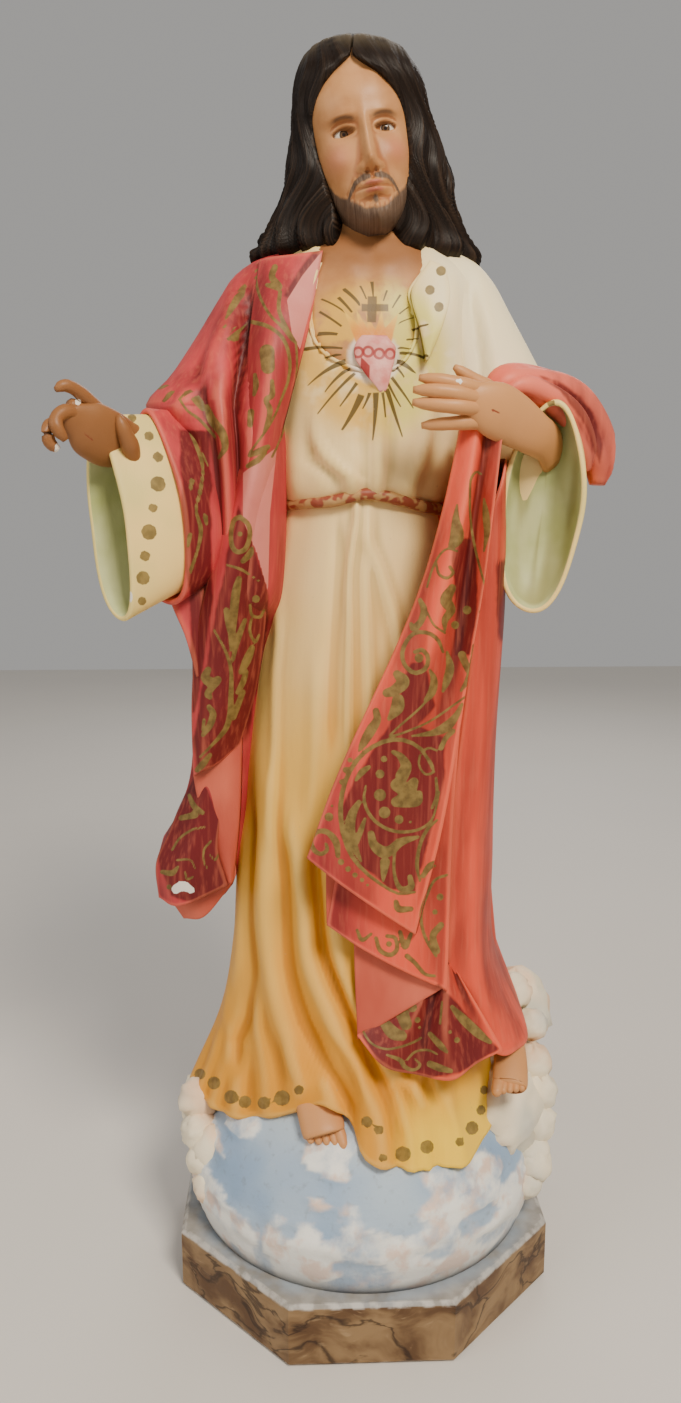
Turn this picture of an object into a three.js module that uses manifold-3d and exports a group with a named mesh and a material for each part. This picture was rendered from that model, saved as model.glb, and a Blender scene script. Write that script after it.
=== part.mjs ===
// A painted plaster sacred heart statue: a robed, bearded figure on a globe of clouds, cast in one,
// standing on an octagonal plinth. Millimetres, +Z up, the figure faces -Y, the origin is the
// middle of the plinth's underside.
import * as THREE from "three";
import { mergeVertices } from "three/addons/utils/BufferGeometryUtils.js";
import { ParametricGeometry } from "three/addons/geometries/ParametricGeometry.js";
import Module from "manifold-3d";

// Driving dimensions in millimetres.
const plinthAcrossFlats = 285;
const plinthHeight = 49;
const plinthTopBevel = 2.5;
const jointGap = 0.3; // the paint-thin gap between the plinth and the casting that stands on it
const castingHeight = 866; // from the foot of the globe to the top of the hair

// The free forms are drawn in thousandths of the height of the statue with its plinth, counted
// from the floor, with the globe's foot at drawnFoot and the top of the hair at drawnTop.
const drawnFoot = 54;
const drawnTop = 1000;
const unit = castingHeight / (drawnTop - drawnFoot);

const paint = {
  statue: new THREE.MeshStandardMaterial({ color: 0xc7564f, roughness: 0.62, metalness: 0 }),
  plinth: new THREE.MeshStandardMaterial({ color: 0x8f7452, roughness: 0.6, metalness: 0 }),
};

const wasm = await Module();
wasm.setup();

const radians = THREE.MathUtils.degToRad;
const clamp = THREE.MathUtils.clamp;
const mix = (a, b, t) => a.map((value, i) => value + (b[i] - value) * t);
const bell = (distance, width) => Math.exp(-((distance / width) ** 2));

// A smooth curve through guide values or points, with t from 0 at the first to 1 at the last.
function through(guides, t) {
  const last = guides.length - 1;
  const place = clamp(t, 0, 1) * last;
  const start = Math.min(Math.floor(place), last - 1);
  const f = place - start;
  const pick = (i) => {
    if (i < 0) return blend(guides[0], guides[1], -1);
    if (i > last) return blend(guides[last], guides[last - 1], -1);
    return guides[i];
  };
  const weights = [
    0.5 * (-f + 2 * f * f - f * f * f),
    0.5 * (2 - 5 * f * f + 3 * f * f * f),
    0.5 * (f + 4 * f * f - 3 * f * f * f),
    0.5 * (-f * f + f * f * f),
  ];
  const near = [pick(start - 1), pick(start), pick(start + 1), pick(start + 2)];
  const sum = (values) => values.reduce((total, value, i) => total + value * weights[i], 0);
  return Array.isArray(near[1]) ? near[1].map((_, k) => sum(near.map((p) => p[k]))) : sum(near);
}

function blend(a, b, t) {
  return Array.isArray(a) ? mix(a, b, t) : a + (b - a) * t;
}

// The same curve, with each guide given as [key, value...], read at a key.
function keyed(rows, key) {
  const rising = rows[0][0] < rows[rows.length - 1][0] ? rows : [...rows].reverse();
  const last = rising.length - 1;
  let i = 0;
  while (i < last - 1 && key > rising[i + 1][0]) i += 1;
  const f = clamp((key - rising[i][0]) / (rising[i + 1][0] - rising[i][0]), 0, 1);
  const value = through(rising.map((row) => row.slice(1)), (i + f) / last);
  return value.length === 1 ? value[0] : value;
}

// A surface through guide curves: u goes across the curves, v along each.
const across = (curves) => (u, v) => through(curves.map((curve) => through(curve, v)), u);

// The drawing's points to millimetres above the plinth's top.
const placed = ([x, y, z]) => [
  x * unit,
  y * unit,
  (z - drawnFoot) * unit + plinthHeight + jointGap,
];

// A closed solid from a three.js geometry, turned right side out.
function solidOf(geometry) {
  geometry.deleteAttribute("normal");
  geometry.deleteAttribute("uv");
  const merged = mergeVertices(geometry, 1e-3);
  const corners = merged.index.array;
  const triangles = [];
  for (let i = 0; i < corners.length; i += 3) {
    const [a, b, c] = [corners[i], corners[i + 1], corners[i + 2]];
    if (a !== b && b !== c && c !== a) triangles.push(a, b, c);
  }
  const build = (triVerts) =>
    new wasm.Manifold(
      new wasm.Mesh({
        numProp: 3,
        vertProperties: new Float32Array(merged.attributes.position.array),
        triVerts: new Uint32Array(triVerts),
      }),
    );
  const solid = build(triangles);
  return solid.volume() > 0 ? solid : build(triangles.reverse());
}

// A full turn with the steps drawn together at the front for a positive gather, at the back for a
// negative one.
const gathered = (u, gather) => 2 * Math.PI * u - gather * Math.sin(2 * Math.PI * u);

// A closed form from a surface that is round in u and runs from end to end in v.
function roundForm(surface, around, along) {
  const middle = (v) => {
    const ring = Array.from({ length: around }, (_, i) => surface(i / around, v));
    return [0, 1, 2].map((k) => ring.reduce((sum, p) => sum + p[k], 0) / around);
  };
  const ends = [middle(0), middle(1)];
  const rows = along + 2;
  const geometry = new ParametricGeometry(
    (u, v, target) => {
      const row = Math.round(v * rows);
      const inner = clamp((row - 1) / along, 0, 1);
      const point = row === 0 ? ends[0] : row === rows ? ends[1] : surface(u % 1, inner);
      target.set(...placed(point));
    },
    around,
    rows,
  );
  return solidOf(geometry);
}

// A closed form between a surface and its copy moved by inward(point), such as a fall of cloth.
function slabForm(surface, inward, steps, along) {
  const columns = 2 * steps + 2;
  const rows = along + 2;
  const sides = [0, 1].map((v) => mix(surface(0.5, v), inward(surface(0.5, v)), 0.5));
  const geometry = new ParametricGeometry(
    (u, v, target) => {
      const column = Math.round(u * columns) % columns;
      const row = Math.round(v * rows);
      const inner = clamp((row - 1) / along, 0, 1);
      const front = column <= steps;
      const share = front ? column / steps : (columns - 1 - column) / steps;
      const point = surface(clamp(share, 0, 1), inner);
      const side = front ? point : inward(point);
      target.set(...placed(row === 0 ? sides[0] : row === rows ? sides[1] : side));
    },
    columns,
    rows,
  );
  return solidOf(geometry);
}

// A limb, finger, lock or rolled fold: a round profile carried along guide points
// [x, y, z, radius], with the profile flattened across the direction called flat.
function tubeForm(guides, around, along, flat = [0, 0, 1], squeeze = 1) {
  const curve = (t) => through(guides, t);
  return roundForm(
    (u, v) => {
      const [x, y, z, radius] = curve(v);
      const ahead = new THREE.Vector3(...curve(Math.min(v + 0.02, 1)));
      const way = ahead.sub(new THREE.Vector3(...curve(Math.max(v - 0.02, 0)))).normalize();
      const wide = new THREE.Vector3(...flat);
      wide.addScaledVector(way, -wide.dot(way)).normalize();
      const thin = new THREE.Vector3().crossVectors(way, wide);
      const turn = 2 * Math.PI * u;
      return new THREE.Vector3(x, y, z)
        .addScaledVector(wide, radius * Math.cos(turn))
        .addScaledVector(thin, radius * squeeze * Math.sin(turn))
        .toArray();
    },
    around,
    along,
  );
}

// An upright form with level sections. Each ring is [height, middle x, middle y, half width to
// the left, half width to the right, reach to the front, reach to the back], and the outward
// carving is added by carve(angle, point).
function uprightForm(rings, around, along, carve = () => 0, gather = 0) {
  return roundForm(
    (u, v) => uprightPoint(through(rings, v), gathered(u, gather), carve),
    around,
    along,
  );
}

function uprightPoint([z, x, y, left, right, front, back], turn, carve = () => 0) {
  const side = Math.sin(turn);
  const facing = Math.cos(turn);
  const reach = facing > 0 ? front : back;
  const width = side < 0 ? left : right;
  const point = [x + width * side, y - reach * facing, z];
  const depth = carve(turn, point);
  return [point[0] + depth * side, point[1] - depth * facing, z];
}

// Folds of cloth: each is [rise, width, [height, x], [height, x], ...] from top to bottom, a ridge
// for a positive rise and a furrow for a negative one, that fades out past its ends.
function foldDepth(folds, point, facing) {
  if (facing <= 0) return 0;
  const fade = 25;
  return folds.reduce((sum, [rise, width, ...path]) => {
    const top = path[0][0];
    const bottom = path[path.length - 1][0];
    const over = Math.max(point[2] - top, bottom - point[2], 0);
    const away = point[0] - keyed(path, clamp(point[2], bottom, top));
    return sum + rise * bell(away, width) * bell(over, fade) * Math.min(1, facing * 3);
  }, 0);
}

const backward = (depth) => (point) => [point[0], point[1] + depth, point[2]];
const towards = (x, share) => (point) => mix(point, [x, 10, point[2]], share);

// The globe of clouds.
const globeMiddle = 85;
const globeRadius = 150;
const globeRise = 115;

function globe() {
  const low = Math.asin((drawnFoot - globeMiddle) / globeRise);
  return roundForm(
    (u, v) => {
      const lift = low + (Math.PI / 2 - low) * v * 0.98;
      const turn = 2 * Math.PI * u;
      const swirl = Math.sin(5 * turn + 2) * Math.sin(9 * lift + 3 * turn);
      const relief = 2.5 * swirl * Math.min(1, 5 * v);
      const radius = (globeRadius + relief * Math.cos(lift)) * Math.cos(lift);
      return [
        radius * Math.sin(turn),
        -radius * Math.cos(turn),
        globeMiddle + (globeRise + relief) * Math.sin(lift),
      ];
    },
    22,
    5,
  );
}

// Puffs of cloud as [x, y, z, radius, height].
const puffs = [
  [112, 14, 152, 54, 52],
  [112, -34, 142, 42, 48],
  [151, -34, 128, 16, 18],
  [145, -54, 100, 16, 17],
  [146, 46, 196, 33, 38],
  [78, 88, 146, 58, 56],
  [-6, 104, 138, 56, 46],
  [-86, 78, 128, 54, 52],
  [-137, -4, 138, 25, 30],
  [-128, -44, 112, 20, 26],
];

function puff([x, y, z, radius, height]) {
  const geometry = new THREE.IcosahedronGeometry(unit, 1);
  geometry.rotateZ(x + z);
  geometry.scale(radius, radius, height);
  geometry.translate(...placed([x, y, z]));
  return solidOf(geometry);
}

// The tunic's skirt: level rings above, drawn out at the hem to where the cloth meets the globe.
const waistHeight = 664;
const skirtRings = [
  [150, 112, 122, 95],
  [122, 106, 108, 86],
  [110, 102, 98, 78],
  [105, 99, 92, 72],
  [101, 97, 88, 66],
  [97, 95, 85, 62],
  [90, 88, 81, 57],
  [80, 80, 74, 52],
  [71, 71, 65, 47],
];

// The hem as [degrees from the front, x, y, z].
const hem = [
  [-180, 0, 95, 175],
  [-135, -100, 75, 165],
  [-100, -148, 20, 160],
  [-80, -147, -20, 160],
  [-60, -128, -48, 156],
  [-42, -104, -66, 158],
  [-28, -76, -82, 169],
  [-18, -54, -90, 180],
  [-10, -34, -102, 190],
  [-3, -14, -112, 176],
  [3, -4, -124, 158],
  [14, 24, -129, 150],
  [30, 62, -121, 146],
  [42, 88, -102, 146],
  [55, 104, -72, 152],
  [70, 116, -35, 160],
  [100, 118, 30, 190],
  [140, 80, 80, 180],
  [180, 0, 95, 175],
];

const skirtFolds = [
  [6, 2.6, [650, -9], [604, -15], [567, -15], [500, -16]],
  [6, 5, [632, -1], [607, 9], [573, 19], [540, 26]],
  [8, 9, [435, -77], [356, -82], [314, -81], [272, -75], [241, -67], [204, -53]],
  [-8, 6, [399, -92], [329, -96], [276, -93], [240, -99], [215, -108]],
  [6, 6, [380, -104], [320, -105], [281, -106], [250, -116], [221, -129]],
  [-6, 5, [290, -114], [250, -126], [225, -136]],
  [-8, 7, [375, -66], [294, -63], [254, -52], [218, -32], [191, -16]],
  [8, 8, [400, -58], [350, -50], [305, -47], [264, -32], [228, -12], [192, 4], [158, 8]],
  [-9, 6, [374, -42], [313, -36], [273, -20], [242, -4], [201, 16], [160, 24]],
  [6, 7, [330, -26], [291, -18], [229, 8], [174, 30]],
];

function skirt() {
  return roundForm(
    (u, v) => {
      const turn = gathered(u, 0.4);
      const degrees = THREE.MathUtils.radToDeg(turn);
      const [edgeX, edgeY, edgeZ] = keyed(hem, degrees > 180 ? degrees - 360 : degrees);
      const z = edgeZ + (waistHeight - edgeZ) * v;
      const level = uprightPoint([z, -2, 0, ...through(skirtRings, v)], turn);
      const drawn = uprightPoint([z, -2, 0, ...skirtRings[0]], turn);
      const flare = (1 - v) ** 5;
      const point = [
        level[0] + (edgeX - drawn[0]) * flare,
        level[1] + (edgeY - drawn[1]) * flare,
        z,
      ];
      const depth = foldDepth(skirtFolds, point, Math.cos(turn));
      return [point[0] + depth * Math.sin(turn) * 0.5, point[1] - depth * Math.cos(turn), z];
    },
    30,
    10,
  );
}

// The blouse that bags over the belt, up to the foot of the neck.
const blouseRings = [
  [655, -2, 0, 64, 64, 60, 42],
  [662, -2, 0, 73, 73, 72, 47],
  [672, -2, 0, 77, 78, 78, 49],
  [686, -2, 0, 79, 80, 79, 50],
  [708, -2, 0, 80, 82, 76, 52],
  [738, 0, 0, 81, 85, 76, 56],
  [770, 0, 0, 82, 86, 75, 58],
  [800, 0, 0, 86, 90, 70, 57],
  [824, 0, 0, 84, 90, 60, 50],
  [842, 0, -2, 64, 68, 48, 42],
  [856, 0, -6, 44, 46, 36, 34],
  [870, -1, -10, 29, 29, 26, 28],
];
const blouseFolds = [
  [4.5, 4, [735, 8], [700, 6], [672, 5]],
  [-4, 5, [712, -5], [690, -4], [672, -3]],
  [-4, 5, [715, 19], [690, 18], [672, 15]],
  [4, 5, [706, -40], [690, -28], [676, -12]],
  [4, 6, [800, 62], [760, 66], [720, 66]],
];

const neckline = [
  [-42, 882],
  [-36, 831],
  [-43, 802],
  [-42, 782],
  [-34, 767],
  [-18, 757],
  [2, 752],
  [21, 757],
  [32, 772],
  [34, 790],
  [29, 808],
  [40, 825],
  [44, 882],
];

function blouse() {
  const folds = (turn, point) => foldDepth(blouseFolds, point, Math.cos(turn));
  return uprightForm(blouseRings, 22, 10, folds, 0.4);
}

// The opening of the tunic as a block to cut away.
function necklineBlock() {
  const shape = new THREE.Shape(
    neckline.map(([x, z]) => {
      const [px, , pz] = placed([x, 0, z]);
      return new THREE.Vector2(px, pz);
    }),
  );
  const geometry = new THREE.ExtrudeGeometry(shape, { depth: 60 * unit, bevelEnabled: false });
  geometry.rotateX(Math.PI / 2);
  geometry.translate(0, -30 * unit, 0);
  return solidOf(geometry);
}

// The bare chest shows a little below the cloth's face.
const clothStep = 2.5;
const chestFoot = 730;

function chest() {
  const rings = blouseRings
    .filter(([z]) => z > chestFoot)
    .map(([z, x, y, ...reach]) => [z, x, y, ...reach.map((r) => r - clothStep)]);
  return uprightForm(rings, 14, 5, undefined, 0.3);
}

function neck() {
  const guides = [
    [0, -10, 830, 26],
    [1, -13, 850, 27],
    [0, -14, 868, 26],
    [-2, -14, 890, 27],
  ];
  return tubeForm(guides, 14, 3, [1, 0, 0], 0.95);
}

function belt() {
  const girth = { left: 73, right: 73, front: 71, back: 50, thick: 4.5 };
  const heights = [655, 659, 661, 666, 662, 656, 652];
  return roundForm(
    (u, v) => {
      const turn = 2 * Math.PI * u;
      const reach = Math.cos(turn) > 0 ? girth.front : girth.back;
      const width = Math.sin(turn) < 0 ? girth.left : girth.right;
      const roll = through([Math.PI, 0], v);
      const out = girth.thick * Math.sin(roll);
      const slope = through(heights, 0.5 + Math.sin(turn) / 2);
      const inset = v === 0 || v === 1 ? 12 : 0;
      return [
        -2 + (width + out - inset) * Math.sin(turn),
        -(reach + out - inset) * Math.cos(turn),
        slope - girth.thick * Math.cos(roll),
      ];
    },
    14,
    4,
  );
}

// The head in its own frame: level rings as [height, half width, reach to the front, to the back].
const headMiddle = [-3, -18, 915];
const headTilt = radians(9);
const headRings = [
  [-64, 8, 36, 8],
  [-57, 18, 44, 16],
  [-46, 26, 46, 26],
  [-34, 31, 46, 36],
  [-20, 34.5, 45, 43],
  [-6, 36.5, 44, 47],
  [10, 37.5, 44, 51],
  [26, 37.5, 45, 53],
  [42, 35, 39, 52],
  [56, 29, 32, 46],
  [67, 19, 17, 34],
  [74, 8, 4, 18],
];

// The features of the face as [rise, x, z, width, height], each side of the middle where x isn't 0.
const features = [
  [-5.5, 15, 4, 8, 5],
  [3, 15, 3, 6, 3.5],
  [3, 14, 13, 12, 3.5],
  [8, 0, -6, 4.5, 13],
  [11, 0, -22, 5, 6],
  [4, 6.5, -24, 3.5, 3.5],
  [4.5, 0, -36, 9, 2.6],
  [4, 0, -42.5, 7, 2.8],
  [3.5, 10, -36, 8, 4],
  [6, 0, -57, 10, 8],
  [2, 20, -14, 10, 9],
];

const inHead = ([x, y, z]) => [
  headMiddle[0] + x * Math.cos(headTilt) - z * Math.sin(headTilt),
  headMiddle[1] + y,
  headMiddle[2] + x * Math.sin(headTilt) + z * Math.cos(headTilt),
];

function head() {
  return roundForm(
    (u, v) => {
      const turn = gathered(u, 0.62);
      const [z, width, front, back] = through(headRings, v);
      const facing = Math.cos(turn);
      const x = width * Math.sin(turn);
      const rise = features.reduce((sum, [height, fx, fz, wide, tall]) => {
        const away = Math.min(Math.abs(x - fx), Math.abs(x + fx));
        return sum + height * bell(away, wide) * bell(z - fz, tall);
      }, 0);
      const reach = facing > 0 ? front * Math.sqrt(facing) * 0.35 + front * facing * 0.65 : 0;
      const y = facing > 0 ? -reach - rise * Math.min(1, facing * 2) : -back * facing;
      return inHead([x, y, z]);
    },
    15,
    14,
  );
}

// The hair as level rings: [height, middle x, middle y, half width to the left, to the right,
// reach to the front, reach to the back, how far the ring sinks at the back].
const hairRings = [
  [838, -2, 3, 80, 87, 34, 60, 34],
  [846, -2, -2, 81, 86, 42, 64, 30],
  [860, -3, -5, 71, 77, 44, 66, 20],
  [880, -3, -7, 60, 69, 45, 67, 10],
  [902, -3, -9, 55, 66, 46, 66, 4],
  [924, -4, -11, 51, 58, 48, 65, 0],
  [942, -5, -12, 49, 52, 49, 62, 0],
  [958, -6, -12, 47, 49, 50, 57, 0],
  [972, -7, -9, 43, 45, 46, 51, 0],
  [985, -8, -5, 35, 38, 36, 41, 0],
  [994, -8, -2, 21, 24, 20, 27, 0],
  [998.5, -8, 0, 9, 12, 9, 13, 0],
];

// Where the face opens the hair, as [height, x on the left, x on the right]; the parting above.
const hairOpening = [
  [836, -28, 29],
  [847, -24, 27],
  [864, -26, 23],
  [881, -31, 26],
  [894, -36, 30],
  [907, -41, 32],
  [928, -43, 30],
  [941, -38, 23],
  [950, -33, 14],
  [957, -27, 5],
  [962, -21, -5],
  [967, -15, -12],
  [974, -13.5, -12],
  [1000, -10.5, -9],
];
const hairInside = [[836, 0.3], [940, 0.45], [957, 0.66], [968, 0.72], [980, 0.85], [1000, 0.97]];
const hairLocks = 9;

function hair() {
  const around = 22;
  const edge = 1 / around;
  return roundForm(
    (u, v) => {
      const [level, x, y, left, right, front, back, sink] = through(hairRings, v);
      const [openLeft, openRight] = keyed(hairOpening, level);
      const from = Math.asin(clamp((openRight - x) / right, -1, 1));
      const to = 2 * Math.PI + Math.asin(clamp((openLeft - x) / left, -1, 1));
      const gap = to - 2 * Math.PI;
      const inside = keyed(hairInside, level);
      const hidden = u < edge * 1.5 || u > 1 - edge * 1.5;
      const turn = hidden
        ? through([gap, from], u < 0.5 ? 0.5 + (0.5 * u) / edge : (0.5 * (u - 1 + edge)) / edge)
        : from + ((u - 2 * edge) / (1 - 4 * edge)) * (to - from);
      const wave = keyed([[836, 0.05], [900, 0.03], [990, 0.008]], level);
      const drift = 1.9 * Math.sin(level / 13 + 2 * turn) + level / 30;
      const lock = 1 + wave * Math.cos(2 * hairLocks * turn + drift);
      const share = hidden ? inside : lock;
      const width = Math.sin(turn) < 0 ? left : right;
      const reach = Math.cos(turn) > 0 ? front : back;
      return [
        x + width * share * Math.sin(turn),
        y - reach * share * Math.cos(turn),
        level - sink * Math.max(0, -Math.cos(turn)),
      ];
    },
    around,
    hairRings.length - 1,
  );
}

// The mantle round the back and sides.
const mantleRings = [
  [226, 0, 0, 86, 126, 50, 90],
  [300, 0, 0, 90, 116, 50, 94],
  [380, 0, 0, 100, 108, 50, 92],
  [460, 0, 0, 112, 103, 50, 90],
  [540, 0, 0, 116, 103, 50, 86],
  [620, 0, 0, 116, 104, 50, 82],
  [700, 0, 0, 114, 112, 46, 78],
  [770, 0, 0, 110, 104, 40, 74],
  [820, 0, 0, 90, 80, 36, 66],
  [848, 0, 0, 56, 46, 20, 44],
];

function mantleBack() {
  const folds = (turn, point) => {
    const behind = clamp(-Math.cos(turn) * 2, 0, 1);
    return behind * 5 * Math.sin(9 * turn + point[2] / 90) * clamp((840 - point[2]) / 300, 0.1, 1);
  };
  return uprightForm(mantleRings, 20, 7, folds, -0.4);
}

// The mantle over the right arm, down to the hanging corner beside the knee.
const armDrapeRings = [
  [326, -142, -14, 12, 12, 12, 12],
  [343, -136, -14, 32, 26, 26, 20],
  [378, -134, -12, 36, 34, 30, 26],
  [435, -112, -6, 28, 24, 34, 32],
  [535, -104, -8, 35, 30, 42, 40],
  [566, -100, -14, 42, 34, 48, 48],
  [592, -99, -34, 39, 36, 48, 58],
  [650, -97, -42, 38, 36, 48, 64],
  [696, -98, -42, 38, 38, 48, 64],
  [716, -103, -36, 48, 42, 52, 60],
  [732, -107, -28, 60, 46, 55, 58],
  [755, -98, -18, 50, 50, 56, 58],
  [786, -82, -10, 46, 52, 50, 52],
  [815, -68, -4, 42, 50, 42, 46],
  [836, -58, -2, 34, 44, 32, 36],
  [848, -48, 0, 16, 22, 16, 18],
];
const armDrapeFolds = [
  [-16, 6, [790, -90], [705, -95], [640, -96], [572, -104]],
  [-7, 7, [742, -124], [716, -116], [660, -110], [600, -108]],
  [5, 8, [800, -98], [750, -118], [728, -136]],
  [5, 8, [735, -108], [690, -103], [620, -102]],
];

function armDrape() {
  const folds = (turn, point) => foldDepth(armDrapeFolds, point, Math.cos(turn));
  return uprightForm(armDrapeRings, 19, 13, folds, 0.25);
}

// Falls of cloth: guide curves from the top down, in order across the cloth.
const falls = {
  frontBand: {
    guides: [
      [
        [-80, -34, 836],
        [-87, -60, 779],
        [-90, -70, 733],
        [-95, -76, 686],
        [-112, -80, 629],
        [-128, -76, 570],
        [-135, -68, 511],
        [-136, -62, 449],
      ],
      [
        [-70, -46, 836],
        [-74, -76, 778],
        [-77, -86, 733],
        [-84, -90, 688],
        [-97, -92, 633],
        [-110, -88, 579],
        [-121, -78, 517],
        [-128, -68, 455],
      ],
      [
        [-55, -50, 837],
        [-62, -76, 779],
        [-68, -84, 734],
        [-75, -86, 691],
        [-85, -86, 638],
        [-92, -80, 585],
        [-102, -72, 520],
        [-117, -62, 459],
      ],
      [
        [-33, -49, 840],
        [-44, -66, 782],
        [-57, -71, 735],
        [-67, -72, 696],
        [-73, -70, 643],
        [-76, -64, 589],
        [-84, -58, 525],
        [-99, -54, 473],
      ],
    ],
    inward: backward(34),
    size: [4, 9],
  },
  cuffFlap: {
    guides: [
      [[-138, -64, 650], [-150, -78, 602], [-146, -80, 584], [-137, -80, 561], [-130, -76, 530]],
      [[-118, -60, 650], [-122, -72, 602], [-122, -74, 584], [-122, -74, 561], [-122, -70, 530]],
    ],
    inward: backward(14),
    size: [2, 4],
  },
  lowerLining: {
    guides: [
      [[-133, -50, 508], [-137, -54, 453], [-128, -54, 403], [-113, -50, 356]],
      [[-113, -54, 509], [-115, -58, 454], [-112, -57, 404], [-109, -53, 357]],
      [[-97, -50, 508], [-98, -54, 469], [-101, -54, 411], [-107, -50, 358]],
    ],
    inward: backward(44),
    size: [4, 6],
  },
  hangingCorner: {
    guides: [
      [[-138, -24, 540], [-140, -36, 450], [-157, -40, 402], [-170, -42, 372], [-169, -42, 342]],
      [[-122, -36, 560], [-125, -52, 470], [-136, -58, 405], [-148, -60, 368], [-150, -56, 340]],
      [[-108, -36, 560], [-110, -52, 470], [-114, -56, 425], [-118, -58, 388], [-111, -54, 356]],
    ],
    inward: backward(30),
    size: [4, 6],
  },
  cornerLining: {
    guides: [
      [[-166, -30, 350], [-162, -34, 340], [-150, -34, 320]],
      [[-140, -38, 352], [-138, -42, 338], [-132, -40, 324]],
      [[-106, -34, 366], [-106, -38, 358], [-110, -38, 350]],
    ],
    inward: backward(18),
    size: [4, 3],
  },
  cascadeFront: {
    guides: [
      [
        [62, -104, 714],
        [49, -110, 655],
        [35, -112, 605],
        [15, -114, 555],
        [-25, -117, 467],
        [-49, -121, 402],
      ],
      [
        [73, -112, 715],
        [63, -121, 655],
        [50, -124, 600],
        [35, -124, 540],
        [8, -124, 450],
        [-24, -124, 382],
      ],
      [
        [82, -104, 715],
        [73, -106, 655],
        [67, -106, 600],
        [57, -110, 540],
        [33, -119, 440],
        [5, -123, 360],
      ],
      [
        [92, -110, 714],
        [85, -118, 655],
        [79, -118, 600],
        [70, -118, 540],
        [54, -118, 430],
        [33, -121, 340],
      ],
    ],
    inward: towards(75, 0.36),
    size: [9, 7],
  },
  cascadeLining: {
    guides: [
      [[-30, -94, 440], [-34, -102, 390], [-34, -110, 346]],
      [[0, -94, 440], [0, -102, 385], [-2, -110, 340]],
      [[34, -94, 440], [34, -102, 380], [34, -110, 338]],
    ],
    inward: towards(40, 0.25),
    size: [3, 3],
  },
  cascadeMiddle: {
    guides: [
      [[10, -94, 500], [-18, -101, 420], [-34, -111, 345]],
      [[30, -96, 520], [8, -103, 420], [-7, -113, 326]],
      [[50, -98, 530], [36, -106, 430], [24, -116, 309]],
      [[70, -102, 540], [62, -111, 430], [59, -117, 292]],
    ],
    inward: towards(60, 0.42),
    size: [5, 6],
  },
  cascadeLowerLining: {
    guides: [
      [[-13, -98, 350], [-12, -106, 300], [-10, -113, 251]],
      [[24, -98, 350], [24, -106, 310], [24, -112, 272]],
      [[58, -98, 380], [58, -106, 330], [58, -112, 293]],
    ],
    inward: towards(40, 0.25),
    size: [3, 3],
  },
  cascadeFoot: {
    guides: [
      [[40, -98, 294], [15, -106, 272], [-11, -115, 256]],
      [[50, -104, 304], [28, -118, 262], [9, -128, 237]],
      [[55, -100, 308], [44, -112, 262], [36, -119, 224]],
      [[60, -108, 310], [58, -122, 264], [62, -130, 225]],
      [[64, -98, 306], [78, -108, 266], [84, -116, 231]],
      [[68, -100, 302], [90, -108, 266], [106, -110, 238]],
    ],
    inward: towards(60, 0.3),
    size: [10, 4],
  },
  rightSide: {
    guides: [
      [
        [80, -100, 640],
        [72, -104, 540],
        [62, -104, 440],
        [60, -102, 350],
        [62, -98, 290],
        [86, -92, 240],
      ],
      [
        [92, -100, 670],
        [90, -102, 560],
        [84, -101, 450],
        [82, -98, 350],
        [86, -98, 290],
        [106, -96, 226],
      ],
      [
        [99, -84, 690],
        [101, -80, 588],
        [97, -78, 480],
        [96, -76, 380],
        [98, -76, 300],
        [122, -82, 222],
      ],
      [
        [104, -44, 690],
        [108, -38, 588],
        [105, -36, 480],
        [106, -34, 380],
        [110, -36, 290],
        [138, -52, 219],
      ],
      [
        [98, 20, 690],
        [104, 20, 580],
        [104, 20, 450],
        [108, 22, 350],
        [118, 24, 290],
        [138, 0, 232],
      ],
    ],
    inward: towards(30, 0.4),
    size: [6, 7],
  },
};

const fall = ({ guides, inward, size }) => slabForm(across(guides), inward, ...size);

// The left sleeve of the tunic from the shoulder to the fold of the mantle.
const upperArm = () =>
  uprightForm(
    [
      [655, 118, -20, 40, 40, 40, 34],
      [690, 118, -22, 44, 46, 46, 40],
      [720, 110, -18, 44, 46, 46, 42],
      [762, 92, -10, 44, 43, 44, 44],
      [802, 76, -4, 42, 37, 42, 44],
      [826, 66, 0, 38, 34, 36, 40],
      [842, 56, 0, 30, 28, 26, 32],
      [852, 46, 0, 14, 14, 12, 16],
    ],
    16,
    7,
    (turn, point) => foldDepth([[-8, 5, [800, 78], [765, 82], [735, 84]]], point, Math.cos(turn)),
  );

// A hanging bell sleeve: outer wall from root to rim, and back inside as a bowl. A section is
// [x, y, z, half width, half height]; wide is the level direction across the sleeve, sag swells
// its lower half and lean moves its foot to the right.
const sleeveWall = 4;
const sleeveSteps = 12;

function bellSleeve({ sections, wide, depth, sag, lean }) {
  const rim = sections.length - 1;
  const outer = sections.map((s) => [...s]);
  const way = mix(sections[rim], sections[rim - 1], 1).map((v, i) => v - sections[rim][i]);
  const length = Math.hypot(way[0], way[1], way[2]);
  const into = (distance, share) => [
    ...[0, 1, 2].map((k) => sections[rim][k] + (way[k] / length) * distance),
    (sections[rim][3] - sleeveWall) * share,
    (sections[rim][4] - sleeveWall) * share,
  ];
  const bowl = [0, 0.5, 1, 1.4].map((a) => into(depth * Math.sin(a), Math.cos(a) ** 0.45));
  const rows = [...outer, ...bowl];
  return roundForm(
    (u, v) => {
      const place = v * (rows.length - 1);
      const [x, y, z, width, height] = mix(
        rows[Math.min(Math.floor(place), rows.length - 2)],
        rows[Math.min(Math.floor(place) + 1, rows.length - 1)],
        place - Math.min(Math.floor(place), rows.length - 2),
      );
      const turn = 2 * Math.PI * u;
      const swell = 1 - sag * Math.cos(turn);
      const side = width * Math.sin(turn) * swell;
      const tip = -lean * height * Math.cos(turn);
      return [x + wide[0] * side + tip, y + wide[1] * side, z + height * Math.cos(turn)];
    },
    sleeveSteps,
    rows.length - 1,
  );
}

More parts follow.
